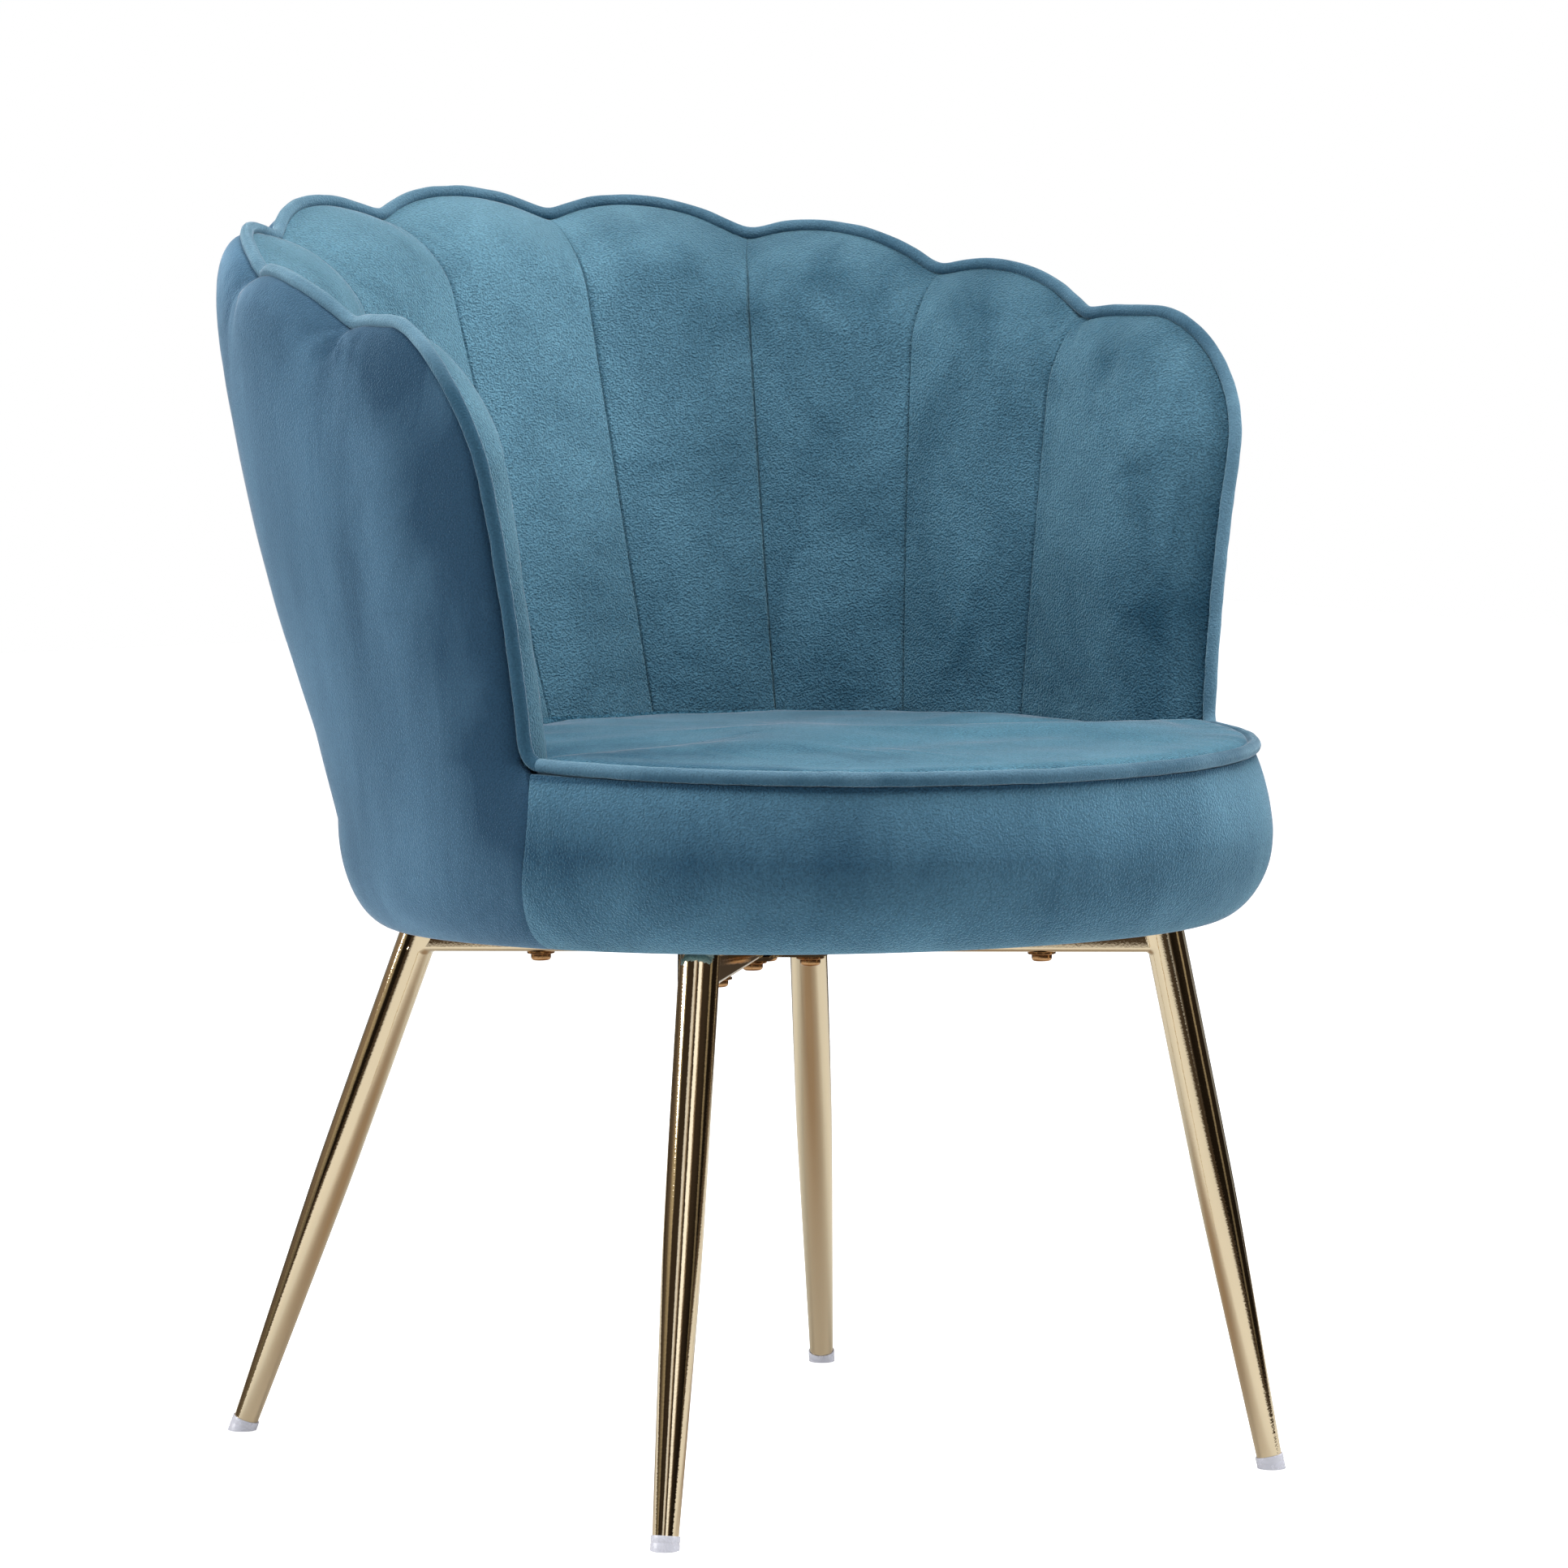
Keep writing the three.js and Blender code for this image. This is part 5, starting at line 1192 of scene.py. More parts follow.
def apron_points(u, v, face):
    side, share = np.where(u < 0.5, -1.0, 1.0), np.abs(2 * u - 1)
    line = seat_line(side * share * END_ANGLE)
    top_z = line[:, 2] - SEAT_CORD - GAP
    falling, rolling, lip = unit(v / 0.5), unit((v - 0.5) / 0.4), unit((v - 0.9) / 0.1)
    z = mix(top_z, WIDEST, falling ** 1.5) - (WIDEST - RIM) * np.sin(math.pi / 2 * rolling)
    centre, radius, front = outer_plan(z, LIP_IN * np.sin(math.pi / 2 * lip))
    end = front_edge_y(z) - GAP
    start = np.arcsin(unit((centre - end) / front) ** (PLAN_POWER / 2))
    ahead = np.sin(mix(math.pi / 2, start, share)) ** (2 / PLAN_POWER)
    out = roll_share(top_z + 0.5 - z, 42) ** 1.2
    out = mix(out, roll_share(line[:, 2] - z, 45), unit((share - 0.85) / 0.15))
    x = mix(line[:, 0], side * radius * front_share(ahead), out)
    y = np.minimum(mix(line[:, 1], centre - front * ahead, out), end)
    skin = stack(x, y, z)
    away = stack(np.sin(side * share * END_ANGLE), -np.cos(side * share * END_ANGLE), 0.0)
    calm = unit((1 - share) * HALF_SPAN / 14) * unit((line[:, 2] - z) / 8) * unit((z - RIM) / 25)
    slack = 1.0 * ripple(skin, 140, 8) + 0.4 * ripple(skin, 50, 9)
    along = side * share * END_ANGLE * SEAT_PIPING_R
    slack += 0.6 * ripple(stack(along, 0.0, z * 0.25), 34, 10) * np.exp(-(line[:, 2] - z) / 18)
    seam_tuck = 1.3 * (1 - roll_share((1 - share) * HALF_SPAN, 3))
    skin = settle(skin + away * (slack * calm - seam_tuck)[:, None],
                  LIP_UP * (1 - np.cos(math.pi / 2 * lip)))
    inner_start = np.arcsin((apron_wall_y - front_edge_y(z) + GAP) / APRON_WALL)
    angle = mix(math.pi / 2, inner_start, share)
    wall = stack(side * APRON_WALL * np.cos(angle), apron_wall_y - APRON_WALL * np.sin(angle), z)
    wall = settle(wall, BACK_UP * unit((v - 0.8) / 0.1))
    wall[:, 1] -= 2.0 * lip
    return np.where((face > 0.5)[:, None], skin, wall)


# %% The apron
front_apron = to_object("apron", pad_grid(220, 72))
u, v, face = layers_of(front_apron, "u", "v", "face")
band = apron_points(u, v, face)
band_x, band_z = band[:, 0], band[:, 2]
from_seat = seat_line((2 * u - 1) * END_ANGLE)[:, 2] - SEAT_CORD - band_z
from_side = (1 - np.abs(2 * u - 1)) * HALF_SPAN
# Painted light and shade: paler on the upper part with a darker band under it, painted shade on
# the upper left, painted light on the right end and where it turns under, and a painted shadow
# right under the piping.
lie_and_painted_light = 0.9 * unit((band_z - 415) / 35) - 0.1 * bell(band_z - 405, 30)
upper_left = unit((40 - band_x) / 190) * unit((band_z - 385) / 30)
lie_and_painted_light += 0.25 * unit((385 - band_z) / 25) - 0.6 * upper_left
lie_and_painted_light += 1.0 * unit((band_x - 150) / 110) ** 2 - 2.4 * bell(from_seat, 3.5)
place_points(front_apron, band, pile_and_painted_light=lie_and_painted_light + 0.14 * ripple(band, 110, 16))
free = unit((from_seat - 1) / 12) * unit((from_side - 1) / 10)
free = free * unit((band_z - RIM - 6) / 20) * (face > 0.5)
soft_pads.append((front_apron, 1 - free))
belongs(front_apron, "velvet_outer", velvet_apron, "front_apron")

# %% [markdown]
# ## Blowing the pads up as cloth
# Velvet over foam is stretched like the skin of a balloon: it swells where it is free, and
# the stitches hold it back. The cloth solver finds that shape. Every pad is held where it is
# sewn or glued, pressed outward from inside for twenty frames, and all pads are solved at once.
# How far a point may then move is capped, so each pad stays in its own space, and the outer
# cover and the apron, which are drawn tight, take only a third of it. The seat's rings are too
# fine in the middle for the solver, so a copy with even cells of five millimetres is solved in
# its place, and its movement is carried back to the rings.

# %% Cloth helpers
FRAMES, HOLD_STEPS = 20, 20
MOST_MOVED, TIGHT_SHARE = 5.0, 0.35     # mm, and what tight covers take of it


def even_copy(piece, cell_mm):
    copy = add_object(piece.name + "_even", piece.data.copy())
    remesh = copy.modifiers.new("even_cells", "REMESH")
    remesh.mode = "VOXEL"
    remesh.voxel_size = cell_mm / 1000
    mesh = bpy.data.meshes.new_from_object(evaluated(copy))
    copy.modifiers.clear()
    copy.data = mesh
    return copy


def as_cloth(piece, held, pressure, extra):
    """held is 1 where the cloth is sewn down and 0 where it is free; extra is spare cloth."""
    sewn = piece.vertex_groups.new(name="sewn")
    level = np.round(np.clip(held, 0, 1) * HOLD_STEPS).astype(int)
    for step in range(1, HOLD_STEPS + 1):
        sewn.add(np.flatnonzero(level == step).tolist(), step / HOLD_STEPS, "REPLACE")
    cloth = piece.modifiers.new("cloth", "CLOTH")
    cloth.point_cache.frame_start, cloth.point_cache.frame_end = 1, FRAMES
    cloth.collision_settings.use_collision = False
    settings = {"quality": 4, "mass": 0.12, "tension_stiffness": 12, "compression_stiffness": 12,
                "shear_stiffness": 6, "bending_stiffness": 0.5, "air_damping": 4,
                "use_pressure": True, "uniform_pressure_force": pressure,
                "vertex_group_mass": "sewn", "shrink_min": -extra}
    for key, value in settings.items():
        setattr(cloth.settings, key, value)
    cloth.settings.effector_weights.gravity = 0


def solve(pieces, cap_mm):
    """Runs the frames once for all pieces and gives back how each point moved, in metres."""
    before = [coordinates(piece.data) for piece in pieces]
    for number in range(1, FRAMES + 1):
        bpy.context.scene.frame_set(number)
    moves = []
    cap = cap_mm / 1000
    for piece, start in zip(pieces, before):
        move = coordinates(evaluated(piece).data) - start
        length = np.maximum(np.linalg.norm(move, axis=1, keepdims=True), 1e-9)
        moves.append(move / length * cap * np.tanh(length / cap))
        print(piece.name, "moved", round(float(length.max()) * 1000, 1), "mm before the cap")
    for piece in pieces:
        piece.modifiers.clear()
        piece.vertex_groups.clear()
    bpy.context.scene.frame_set(1)
    return moves


def move_points(piece, move):
    moved = (coordinates(piece.data) + move).astype(np.float32)
    piece.data.vertices.foreach_set("co", moved.ravel())
    piece.data.update()


print("cloth is solved for", FRAMES, "frames")

# %% Solving the pads
began = time.time()
even_seat = even_copy(seat_cushion, 5)
spots = coordinates(even_seat.data) * 1000 - FRAME_SHIFT
from_middle = np.hypot(spots[:, 0], spots[:, 1] - CUSHION_Y)
free = unit((spots[:, 2] - SEAT + 3) / 4) * unit((250 - from_middle) / 25)
soft_pads.insert(0, (even_seat, 1 - free))
for pad, held in soft_pads:
    as_cloth(pad, held, 4.0, 0.0015)
pads = [pad for pad, _ in soft_pads]
moves = solve(pads, MOST_MOVED)
for pad, move in zip(pads[1:], moves[1:]):
    move_points(pad, move * (TIGHT_SHARE if pad in (outer_cover, front_apron) else 1.0))
tree = KDTree(len(spots))
for number, spot in enumerate(coordinates(even_seat.data)):
    tree.insert(spot, number)
tree.balance()
carried = []
for spot in coordinates(seat_cushion.data):
    near = tree.find_n(spot, 6)
    weight = np.array([1 / (distance + 0.001) for _, _, distance in near])
    near_moves = moves[0][[number for _, number, _ in near]]
    carried.append((near_moves * weight[:, None]).sum(axis=0) / weight.sum())
move_points(seat_cushion, np.array(carried))
bpy.data.objects.remove(even_seat)
print("the pads took", round(time.time() - began, 1), "s")

# %% [markdown]
# ## The plane of the seat board
# The board, the bars and the bolts lean back by less than two degrees with the whole leg
# frame. One matrix, about the same pivot as in the CAD part, carries drawings made on a level
# bench into that plane and turns millimetres into metres.

# %% From the bench to the leaning board
to_metres = Matrix.Diagonal((0.001, 0.001, 0.001, 1)) @ Matrix.Translation((0, shift_back, 0))
lean = Matrix.Translation((0, PIVOT_Y, BOARD)) @ Matrix.Rotation(-LEAN, 4, "X")
bench_to_board = to_metres @ lean
board_middle_y = apron_wall_y - PIVOT_Y
board_middle = bench_to_board @ Matrix.Translation((0, board_middle_y, 0))


def placed(name, bm, matrix, crisp):
    bmesh.ops.transform(bm, matrix=matrix, verts=bm.verts[:])
    smooth_outward(bm)
    piece = to_object(name, bm)
    piece.data.set_sharp_from_angle(angle=math.radians(crisp))
    return piece


def turned(name, profile, matrix, steps=64, soft_edge=0.0, crisp=35):
    """Spins a profile of [radius, height] pairs about Z, in millimetres, and places it."""
    bm = bmesh.new()
    points = [bm.verts.new((r, 0, z)) for r, z in profile]
    edges = [bm.edges.new(pair) for pair in zip(points, points[1:])]
    bmesh.ops.spin(bm, geom=points + edges, cent=(0, 0, 0), axis=(0, 0, 1), dvec=(0, 0, 0),
                   angle=2 * math.pi, steps=steps, use_merge=True)
    bmesh.ops.remove_doubles(bm, verts=bm.verts[:], dist=0.0005)
    if soft_edge:
        sharp = [e for e in bm.edges if len(e.link_faces) == 2 and e.calc_face_angle(0) > 0.9]
        bmesh.ops.bevel(bm, geom=sharp, offset=soft_edge, affect="EDGES", segments=3, profile=0.5,
                        material=-1, clamp_overlap=True)
    return placed(name, bm, matrix, crisp)


print("board middle in metres:", [round(c, 4) for c in board_middle.translation])

# %% [markdown]
# ## Foam, and the cloth that closes the underside
# The foam block can't be seen, but it is there, as on the bench: a low drum with soft edges.
# The dust cover is a disc of non-woven cloth, pulled tight and stapled. Staples are bent wire,
# so they are made as a ring of small beams with rounded shoulders.

# %% Foam drum and dust cover
FOAM_R = 212
foam_low, foam_high = 368 - BOARD + 32, 428.5 - BOARD       # above the board's underside
foam_profile = [(0, foam_low), (FOAM_R, foam_low), (FOAM_R, foam_high), (0, foam_high)]
foam_middle = to_metres @ Matrix.Translation((0, apron_wall_y, BOARD))
foam_block = turned("foam_block", foam_profile, foam_middle, steps=72, soft_edge=6)
belongs(foam_block, "foam", cut_foam, "seat_foam")

COVER_R = 245.7                  # the board's radius less a border of four millimetres
cover_profile = [(0, -0.85)] + [(r, -0.85) for r in np.linspace(14, COVER_R - 11, 16)]
cover_profile += [(COVER_R - 10, -1.2), (COVER_R - 1.0, -1.25), (COVER_R - 0.2, -1.0),
                  (COVER_R, -0.75), (COVER_R - 0.2, -0.5), (COVER_R - 1.0, -0.35), (0, -0.35)]
dust_cover = turned("underside_cloth", cover_profile, board_middle, steps=160, crisp=50)
belongs(dust_cover, "dust_cover", black_cloth, "dust_cover")

# %% Staples
STAPLES, STAPLE_SIZE = 46, (0.7, 10.5, 0.5, 1)
bm = bmesh.new()
for i in range(STAPLES):
    made = bmesh.ops.create_cube(bm, size=1.0)["verts"]
    around = Matrix.Rotation(2 * math.pi * (i + 0.3 * math.sin(i * 2.3)) / STAPLES, 4, "Z")
    skewed = Matrix.Rotation(0.12 * math.sin(i * 5.1), 4, "Z")
    spot = around @ Matrix.Translation((COVER_R - 6, 0, -1.5)) @ skewed
    bmesh.ops.transform(bm, matrix=spot @ Matrix.Diagonal(STAPLE_SIZE), verts=made)
bmesh.ops.bevel(bm, geom=bm.edges[:], offset=0.15, affect="EDGES", segments=1, profile=0.5,
                material=-1)
bmesh.ops.transform(bm, matrix=board_middle, verts=bm.verts[:])
staples = to_object("staples", bm)
belongs(staples, "zinc", zinc_plate)

# %% [markdown]
# ## Legs
# Each leg is one drawn tube: straight above, then swaged to a slim foot. A lathe profile spun
# round the axis gives a true round tube, and the short curve where the taper starts keeps the
# long reflections from breaking. The clear caps are cut level with the floor.

# %% Legs and caps
LEG_TOP = 350                    # level of the upper points that fix each leg's line
LEG_R, LEG_FOOT_R, LEG_BORE = 12.5, 8, 11
FOOT_LEVEL, TAPER_LEVEL = 6.5, 175       # the tube's end inside its cap, and where its taper ends
CAP_R, PLUG_R, PLUG_TOP = 9.0, 6.0, 22
corners = {"front_left": (-1, True), "front_right": (1, True),
           "back_left": (-1, False), "back_right": (1, False)}


def leg_foot(side, front):
    return Vector((side * 234, -245 if front else 251, 0))


def leg_point(side, front, z):
    plan = Vector((side * 178, -201, LEG_TOP)) if front else Vector((side * 150, 151, LEG_TOP))
    return leg_foot(side, front).lerp(plan, z / LEG_TOP)


def along_leg(side, front):
    foot, top = leg_point(side, front, 0), leg_point(side, front, LEG_TOP)
    turn = Vector((0, 0, 1)).rotation_difference((top - foot).normalized()).to_matrix().to_4x4()
    return to_metres @ Matrix.Translation(foot) @ turn


def leg_profile(length, per_height):
    """per_height is the length along a leg for each millimetre of height."""
    low, bend = FOOT_LEVEL * per_height, TAPER_LEVEL * per_height
    outline = [(6.5, low + 0.4), (6.9, low), (7.6, low), (LEG_FOOT_R, low + 0.4)]
    for t in np.linspace(0.02, 1, 14):
        z = mix(low, bend + 25, t)
        straight = mix(LEG_FOOT_R, LEG_R, (z - low) / (bend - low))
        ease = 0.5 * (straight + LEG_R - math.sqrt((straight - LEG_R) ** 2 + 0.35))
        outline.append((ease, z))
    return outline + [(LEG_R, bend + 60), (LEG_R, length - 0.4), (12.1, length), (11.2, length),
                      (LEG_BORE, length - 0.4), (LEG_BORE, bend), (6.5, low + 0.4)]


def cut_level(piece, height_mm):
    bm = bmesh.new()
    bm.from_mesh(piece.data)
    cut = bmesh.ops.bisect_plane(bm, geom=bm.verts[:] + bm.edges[:] + bm.faces[:],
                                 plane_co=(0, 0, height_mm / 1000), plane_no=(0, 0, -1),
                                 dist=1e-7, clear_outer=True)
    ring = [g for g in cut["geom_cut"] if isinstance(g, bmesh.types.BMEdge)]
    bmesh.ops.holes_fill(bm, edges=ring, sides=0)
    bmesh.ops.recalc_face_normals(bm, faces=bm.faces[:])
    bm.to_mesh(piece.data)
    bm.free()
    piece.data.set_sharp_from_angle(angle=math.radians(35))


for name, (side, front) in corners.items():
    top_z = 352 if front else 343
    length = (leg_point(side, front, top_z) - leg_foot(side, front)).length
    leg = turned(f"tube_leg_{name}", leg_profile(length, length / top_z), along_leg(side, front),
                 steps=72)
    belongs(leg, "gold_metal", gold_tube, f"leg_{name}")
    seat_level = FOOT_LEVEL * length / top_z - GAP
    cap_profile = [(0, -8.5), (8.6, -8.5), (CAP_R, -8.1), (CAP_R, 3.2), (8.8, 3.6), (8.8, 4.4),
                   (CAP_R, 4.8), (CAP_R, 8.0), (8.7, 8.5), (8.3, 8.5), (8.3, seat_level),
                   (PLUG_R, seat_level), (PLUG_R, 21), (5.2, PLUG_TOP), (0, PLUG_TOP)]
    cap = turned(f"clear_cap_{name}", cap_profile, along_leg(side, front), steps=48)
    cut_level(cap, 0.0)
    belongs(cap, "clear_plastic", clear_cap, f"foot_cap_{name}")

# %% [markdown]
# ## Cross bars
# Two rectangular tubes cross under the seat and are welded to the legs. A plane with its four
# corners bevelled is the section, and extruding it makes the bar. One bar runs through; the
# other is in two halves, cut off with a bisecting plane where they meet it.

# %% Where the bars run
BAR_HEIGHT, BAR_WIDTH = 25, 20
BAR_LEVEL = -14.1                # the bars' middle, below the board's underside


def bar_end(side, front):
    place = lean.inverted() @ leg_point(side, front, 343 - BAR_HEIGHT / 2)
    return Vector((place.x, place.y, BAR_LEVEL))


ends = {"long": (bar_end(-1, False), bar_end(1, True)),
        "short": (bar_end(-1, True), bar_end(1, False))}
(ax, ay, _), (bx, by, _) = ends["long"]
crossing = Vector((0, mix(ay, by, -ax / (bx - ax)), BAR_LEVEL))
print("the bars cross at y =", round(crossing.y, 1), "mm")


# %% Bars
def bar_along(start, finish):
    """A matrix whose X runs along the bar, with Z up, from its start."""
    heading = math.atan2(finish.y - start.y, finish.x - start.x)
    return Matrix.Translation(start) @ Matrix.Rotation(heading, 4, "Z")


def box_bar(name, start, finish, trim=6.0, stop=None):
    bm = bmesh.new()
    bmesh.ops.create_grid(bm, x_segments=1, y_segments=1, size=0.5)
    section = Matrix.Diagonal((BAR_HEIGHT, BAR_WIDTH, 1, 1))
    upright = Matrix.Rotation(math.pi / 2, 4, "Y") @ section
    bmesh.ops.transform(bm, matrix=upright, verts=bm.verts[:])
    bmesh.ops.bevel(bm, geom=bm.verts[:], offset=3, affect="VERTICES", segments=6, profile=0.5,
                    material=-1)
    length = (finish - start).length
    bmesh.ops.translate(bm, vec=(trim, 0, 0), verts=bm.verts[:])
    grown = bmesh.ops.extrude_face_region(bm, geom=bm.faces[:], use_keep_orig=True)
    moved = [g for g in grown["geom"] if isinstance(g, bmesh.types.BMVert)]
    bmesh.ops.translate(bm, vec=(length - 2 * trim, 0, 0), verts=moved)
    bmesh.ops.transform(bm, matrix=bar_along(start, finish), verts=bm.verts[:])
    if stop:
        keep = (ends["long"][1] - ends["long"][0]).normalized().cross(Vector((0, 0, 1)))
        keep = -keep if keep.dot(start - crossing) > 0 else keep
        if stop == "far":
            keep = -keep
        cut = bmesh.ops.bisect_plane(bm, geom=bm.verts[:] + bm.edges[:] + bm.faces[:],
                                     plane_co=crossing - keep * (BAR_WIDTH / 2 + GAP),
                                     plane_no=keep, dist=0.0001, clear_outer=True)
        rim = [g for g in cut["geom_cut"] if isinstance(g, bmesh.types.BMEdge)]
        bmesh.ops.holes_fill(bm, edges=rim, sides=0)
    return placed(name, bm, bench_to_board, 30)


for name, pair, stop, node in (("bar_through", "long", None, "cross_bar_long"),
                               ("bar_front", "short", "near", "cross_bar_front_half"),
                               ("bar_back", "short", "far", "cross_bar_back_half")):
    belongs(box_bar(name, *ends[pair], stop=stop), "gold_metal", gold_tube, node)

# %% [markdown]
# ## Weld fillets
# The joints are brazed, ground smooth and then plated, so each bar flows into its leg with a
# small concave fillet. Its rings start on the bar and spread on a quarter circle until
# they lie on the tube, where a ray along the bar finds the tube's surface.

# %% Fillets between the bars and the legs
FILLET = 3.2
WELD_RINGS = 12
SQUARE_POWER = 0.32              # 1 would be an ellipse; small values make it square


def weld(name, start, finish, side, front):
    to_leg = bar_along(start, finish).inverted() @ lean.inverted()
    foot = to_leg @ leg_foot(side, front)
    way = ((to_leg @ leg_point(side, front, LEG_TOP)) - foot).normalized()
    piece = to_object(name, flat_grid(64, WELD_RINGS)[0])
    u, v = layers_of(piece, "u", "v")
    angle = 2 * math.pi * u
    half_w, half_h = BAR_WIDTH / 2, BAR_HEIGHT / 2
    y = half_w * np.sign(np.cos(angle)) * np.abs(np.cos(angle)) ** SQUARE_POWER
    z = half_h * np.sign(np.sin(angle)) * np.abs(np.sin(angle)) ** SQUARE_POWER
    length = np.hypot(y / half_w, z / half_h)
    ny, nz = y / half_w / length, z / half_h / length
    bend = math.pi / 2 * unit((v - 1 / WELD_RINGS) / (10 / WELD_RINGS))
    grow = FILLET * (1 - np.cos(bend)) - 1.2 * (v < 0.04)
    y, z = np.clip(y + ny * grow, -12.2, 12.2), z + nz * grow
    a = np.array(way)
    offset = np.stack([np.zeros_like(y), y, z], axis=1) - np.array(foot)
    along_way = np.array([1.0, 0, 0]) - a * a[0]
    across = offset - (offset @ a)[:, None] * a
    qa = along_way @ along_way
    qb = 2 * across @ along_way
    qc = (across ** 2).sum(axis=1) - 12.45 ** 2
    x = (-qb + np.sqrt(np.maximum(qb ** 2 - 4 * qa * qc, 0))) / (2 * qa)
    x = x + FILLET * (1 - np.sin(bend)) * (v < 0.96) - 2.0 * (v > 0.96)
    to_frame = bench_to_board @ bar_along(start, finish)
    metres = np.array([to_frame @ Vector(point) for point in np.stack([x, y, z], axis=1)])
    place_points(piece, metres * 1000 - FRAME_SHIFT, merge=True, crisp=50)
    bm = bmesh.new()
    bm.from_mesh(piece.data)
    bmesh.ops.holes_fill(bm, edges=[e for e in bm.edges if e.is_boundary], sides=0)
    bmesh.ops.recalc_face_normals(bm, faces=bm.faces[:])
    bm.to_mesh(piece.data)
    bm.free()
    belongs(piece, "gold_metal", gold_tube)


weld("weld_back_left", *ends["long"], -1, False)
weld("weld_front_right", *reversed(ends["long"]), 1, True)
weld("weld_front_left", *ends["short"], -1, True)
weld("weld_back_right", *reversed(ends["short"]), 1, False)

# %% [markdown]
# ## Bolts and washers
# Eight button-head bolts hold the frame to the nuts in the board. Each is one lathe profile,
# and its socket is a plain round cup let into the head.

# %% Bolts and washers
OUTER_BOLT = 0.166               # share of a bar's length, from each end
PLATE_BOLT = 33                  # from the crossing
UNDER_BAR, UNDER_PLATE = -26.6, -29.9
WASHER_THICK = 1.6
HEAD_HIGH, HEAD_ROUND = 4.2, 2.1
bolt_spots = []
for start, finish in ends.values():
    for share in (OUTER_BOLT, 1 - OUTER_BOLT):
        bolt_spots.append((start.lerp(finish, share), False))
    for side in (-1, 1):
        bolt_spots.append((crossing + (finish - start).normalized() * PLATE_BOLT * side, True))

for number, (spot, on_plate) in enumerate(bolt_spots, start=1):
    under = (UNDER_PLATE if on_plate else UNDER_BAR) - GAP
    washer_low = under - WASHER_THICK
    head_top = washer_low - GAP
    low = head_top - HEAD_HIGH
    here = bench_to_board @ Matrix.Translation((spot.x, spot.y, 0))
    head = [(0, low + 2.4), (2.35, low + 2.4), (2.35, low + 0.25), (2.6, low), (4.4, low)]
    head += [(4.4 + HEAD_ROUND * math.sin(t), low + HEAD_ROUND * (1 - math.cos(t)))
             for t in np.linspace(0.2, math.pi / 2, 6)]
    head += [(6.5, head_top - 0.2), (6.3, head_top), (3, head_top), (3, 8), (0, 8)]
    bolt = turned(f"button_bolt_{number}", head, here, steps=48)
    belongs(bolt, "bolt_metal", brass_bolt, f"bolt_{number}")
    ring = [(3.3, washer_low), (8.6, washer_low), (9.0, under - 1.2), (9.0, under - 0.3),
            (8.7, under), (3.3, under), (3.3, washer_low)]
    washer = turned(f"flat_washer_{number}", ring, here, steps=48)
    belongs(washer, "bolt_metal", brass_bolt, f"washer_{number}")

# %% [markdown]
# ## CAD pieces that keep their own shape
# The plywood shell, the board, the glue blocks, the nuts and the plate are right as they are,
# so they only get their finishes.

# %% Finishes of the CAD pieces
kept = {"plywood_back_shell": birch_ply, "seat_board": birch_ply, "centre_plate": gold_tube}
blocks = ("block_left", "block_back_left", "block_back_right", "block_right")
kept.update({name: birch_ply for name in blocks})
kept.update({f"t_nut_{number}": zinc_plate for number in range(1, 9)})
for name, finish in kept.items():
    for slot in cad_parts[name].material_slots:
        slot.material = finish
print("CAD pieces with a new finish:", len(kept))

# %% [markdown]
# ## Studio
# The photograph was taken on white, with large soft lamps and no shadow left on the paper, so
# the camera sees the floor as plain white. Polished metal sees reflections painted for it alone:
# to glossy rays the floor has a painted brown shadow of the chair in the middle and darkens with
# distance, and the world has pale walls, dark gaps, lamp bands and brown and gold bands that
# only reflections show. Velvet only needs soft light, brightest from the white paper behind the
# chair.

# %% Floor
def set_ramp(ramp, stops):
    while len(ramp.elements) < len(stops):
        ramp.elements.new(0.5)
    for element, (position, tone) in zip(ramp.elements, stops):
        element.position = position
        element.color = to_linear(tone)


bm = bmesh.new()
bmesh.ops.create_grid(bm, x_segments=1, y_segments=1, size=6)
bmesh.ops.translate(bm, vec=(0, 1.0, -0.0002), verts=bm.verts[:])
floor = to_object("studio_floor", bm)
paper, tree = new_finish("white_paper_floor")
path = add_node(tree, "ShaderNodeLightPath")
seen = add_node(tree, "ShaderNodeMath",
                {0: path.outputs["Is Camera Ray"], 1: path.outputs["Is Transmission Ray"]},
                operation="MAXIMUM")
matt = add_node(tree, "ShaderNodeBsdfDiffuse", {"Color": to_linear("#f2f2f2")})
glow = add_node(tree, "ShaderNodeEmission", {"Color": (1, 1, 1, 1), "Strength": 0.74})
lift = add_node(tree, "ShaderNodeAddShader", {0: matt.outputs[0], 1: glow.outputs[0]})
place = add_node(tree, "ShaderNodeTexCoord")
away = add_node(tree, "ShaderNodeVectorMath", {0: place.outputs["Object"]}, operation="LENGTH")
thirds = add_node(tree, "ShaderNodeMath", {0: away.outputs["Value"], 1: 1 / 3},
                  operation="MULTIPLY")
# To glossy rays the floor shows a painted brown shadow under the chair, pale paper beyond it and
# dark far away: a painted reflection.
mirrored_floor_with_painted_shadow = add_node(tree, "ShaderNodeValToRGB", {"Fac": thirds.outputs[0]})
set_ramp(mirrored_floor_with_painted_shadow.color_ramp, [(0.03, "#b8a28c"), (0.14, "#d4d2cd"), (0.5, "#d4d2cd"),
                                  (0.72, "#4a3f34")])
seen_by_metal = add_node(tree, "ShaderNodeBsdfDiffuse", {"Color": mirrored_floor_with_painted_shadow.outputs["Color"]})
first = add_node(tree, "ShaderNodeMixShader",
                 {0: path.outputs["Is Glossy Ray"], 1: matt.outputs[0],
                  2: seen_by_metal.outputs[0]})
both = add_node(tree, "ShaderNodeMixShader",
                {0: seen.outputs[0], 1: first.outputs[0], 2: lift.outputs[0]})
add_node(tree, "ShaderNodeOutputMaterial", {"Surface": both.outputs[0]})
floor.data.materials.append(paper)

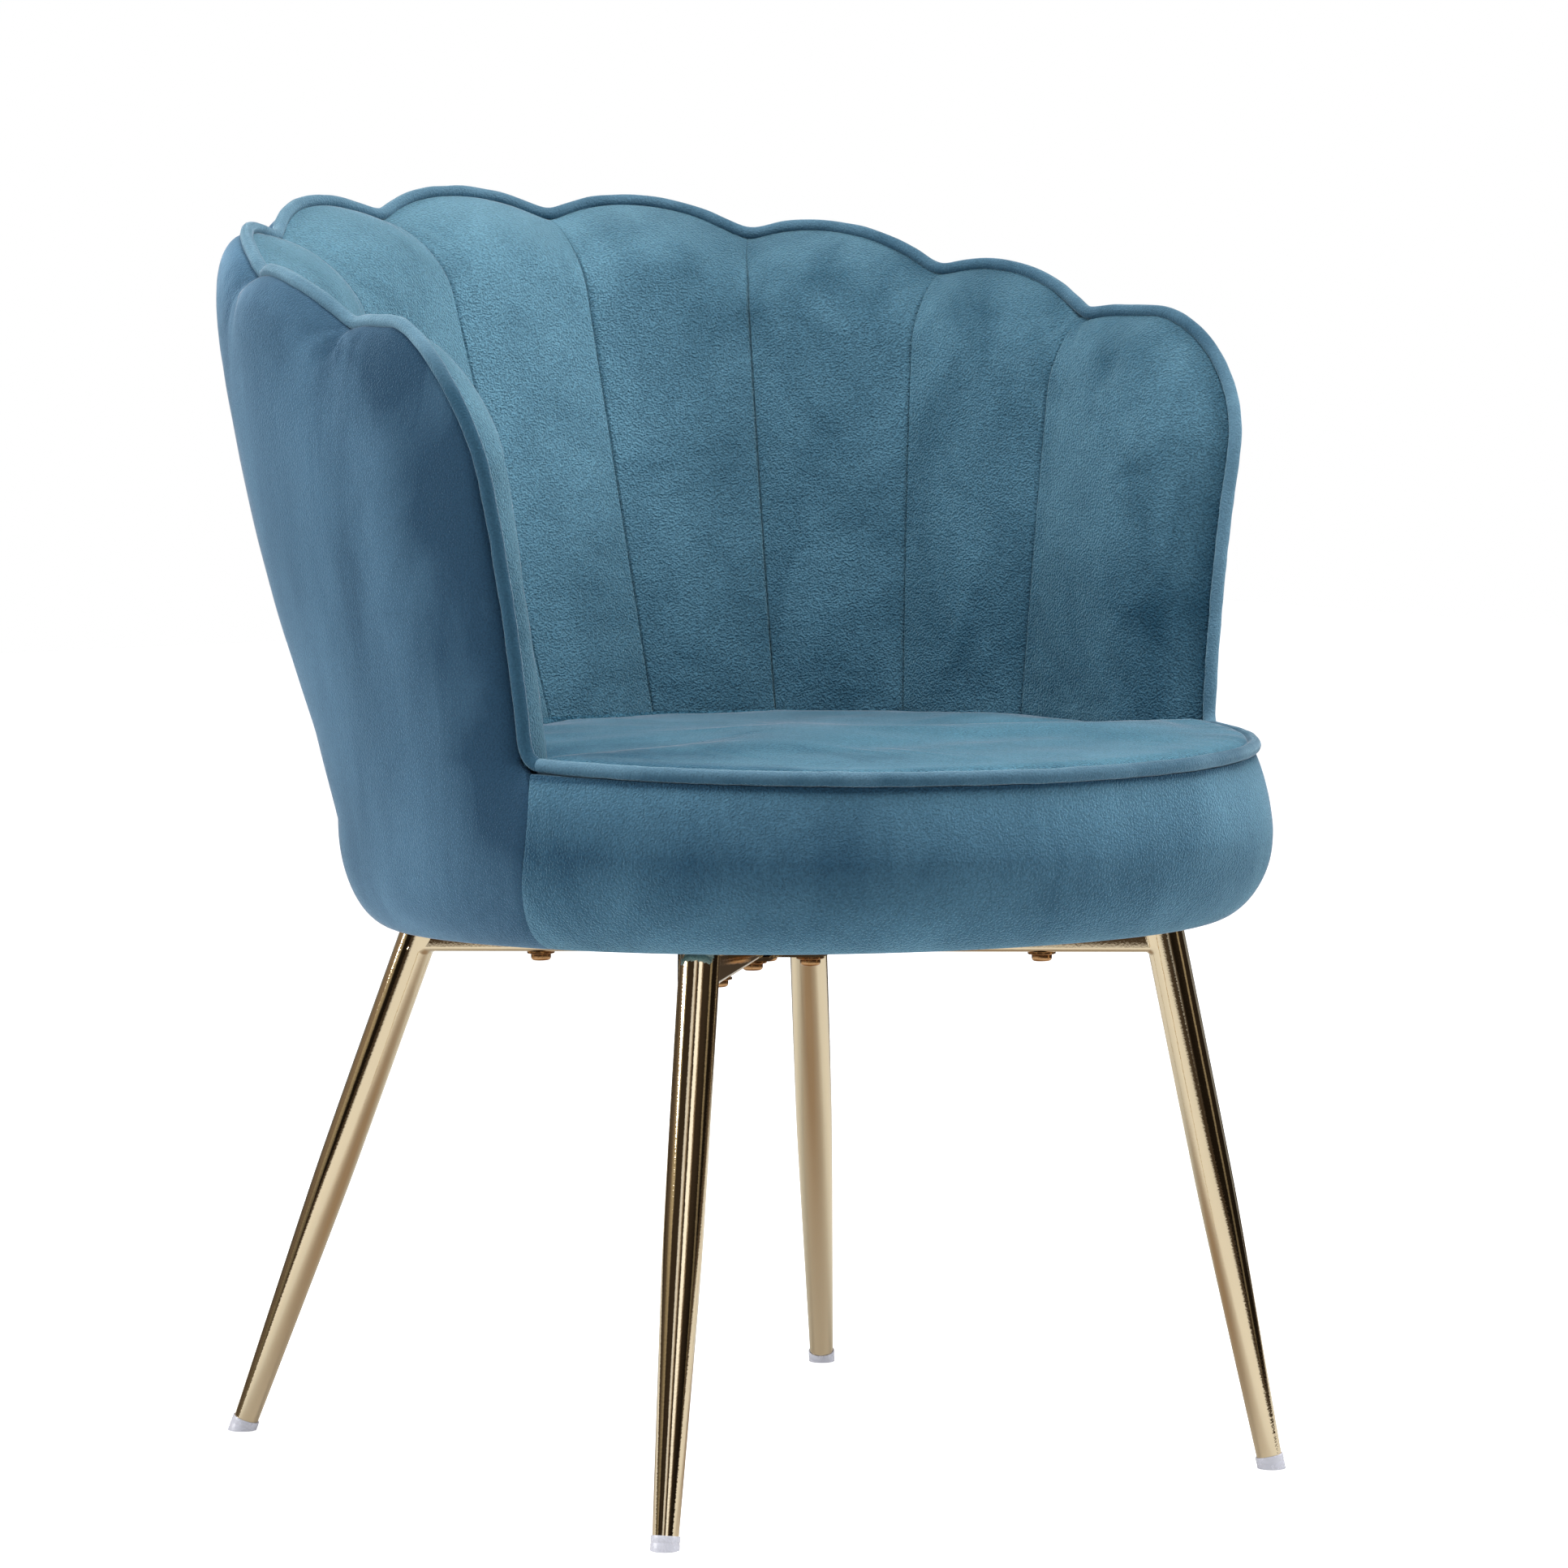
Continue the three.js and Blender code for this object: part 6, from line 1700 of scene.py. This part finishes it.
# %% World and lamps
world = bpy.data.worlds.new("studio")
bpy.context.scene.world = world
world.use_nodes = True
tree = world.node_tree
tree.nodes.clear()
path = add_node(tree, "ShaderNodeLightPath")
look = add_node(tree, "ShaderNodeTexCoord")
behind = add_node(tree, "ShaderNodeVectorMath",
                  {0: look.outputs["Generated"], 1: (0.57, 0.82, 0)}, operation="DOT_PRODUCT")
paper = add_node(tree, "ShaderNodeMapRange",
                 {"Value": behind.outputs["Value"], "From Min": 0.55, "From Max": 0.95,
                  "To Min": 0.38, "To Max": 1.7})
room = add_node(tree, "ShaderNodeBackground",
                {"Color": to_linear("#f4f7fb"), "Strength": paper.outputs["Result"]})
white = add_node(tree, "ShaderNodeBackground", {"Color": (1, 1, 1, 1), "Strength": 1.0})
seen = add_node(tree, "ShaderNodeMath",
                {0: path.outputs["Is Camera Ray"], 1: path.outputs["Is Transmission Ray"]},
                operation="MAXIMUM")
split = add_node(tree, "ShaderNodeSeparateXYZ", {"Vector": look.outputs["Generated"]})
turn = add_node(tree, "ShaderNodeMath", {0: split.outputs["Y"], 1: split.outputs["X"]},
                operation="ARCTAN2")
bands = add_node(tree, "ShaderNodeMath", {0: turn.outputs[0], 1: 1 / (2 * math.pi), 2: 0.5},
                 operation="MULTIPLY_ADD")
# To glossy rays the world is a painted reflection: pale walls, dark gaps, white lamp bands and
# brown and gold bands, brighter above the horizon.
painted_reflection_bands = add_node(tree, "ShaderNodeValToRGB", {"Fac": bands.outputs[0]})
RAMP_START = 0.1533              # the ramp's own place of 0 degrees
DARK, BROWN, GOLD, WALL, LAMP = "#322a22", "#867665", "#ada086", "#d1d1d1", "#ffffff"
stops = [(-55.1, DARK), (-32, DARK), (-27, WALL), (-19, WALL), (-14, BROWN), (-8, DARK),
         (-2, DARK), (2, LAMP), (15, LAMP), (21, BROWN), (28, DARK), (66, DARK), (70, GOLD),
         (78, GOLD), (82, DARK), (118, DARK), (126, WALL), (210, WALL), (224, BROWN),
         (262, BROWN), (270, GOLD), (286, GOLD), (294, DARK), (304.7, DARK)]
set_ramp(painted_reflection_bands.color_ramp, [(RAMP_START + degrees / 360, tone) for degrees, tone in stops])
height = add_node(tree, "ShaderNodeMapRange",
                  {"Value": split.outputs["Z"], "From Min": 0.03, "From Max": 0.16,
                   "To Min": 0.35, "To Max": 1.25})
mirrored = add_node(tree, "ShaderNodeBackground",
                    {"Color": painted_reflection_bands.outputs["Color"], "Strength": height.outputs["Result"]})
first = add_node(tree, "ShaderNodeMixShader",
                 {0: path.outputs["Is Glossy Ray"], 1: room.outputs[0], 2: mirrored.outputs[0]})
last = add_node(tree, "ShaderNodeMixShader",
                {0: seen.outputs[0], 1: first.outputs[0], 2: white.outputs[0]})
add_node(tree, "ShaderNodeOutputWorld", {"Surface": last.outputs[0]})


def soft_lamp(name, place, aim, size, power):
    lamp = bpy.data.lights.new(name, "AREA")
    lamp.shape = "RECTANGLE"
    lamp.size, lamp.size_y = size
    lamp.energy = power
    holder = add_object(name, lamp)
    holder.location = place
    holder.rotation_euler = (Vector(aim) - Vector(place)).to_track_quat("-Z", "Y").to_euler()
    print(name, power, "W")


soft_lamp("key_soft_box", (3.0, -1.9, 2.3), (0, 0, 0.55), (1.8, 1.6), 66)
soft_lamp("window_soft_box", (-2.8, 1.5, 1.7), (0, 0, 0.5), (1.4, 2.0), 62)
soft_lamp("top_soft_box", (-0.2, -0.7, 3.2), (0, 0, 0.5), (1.6, 1.6), 62)
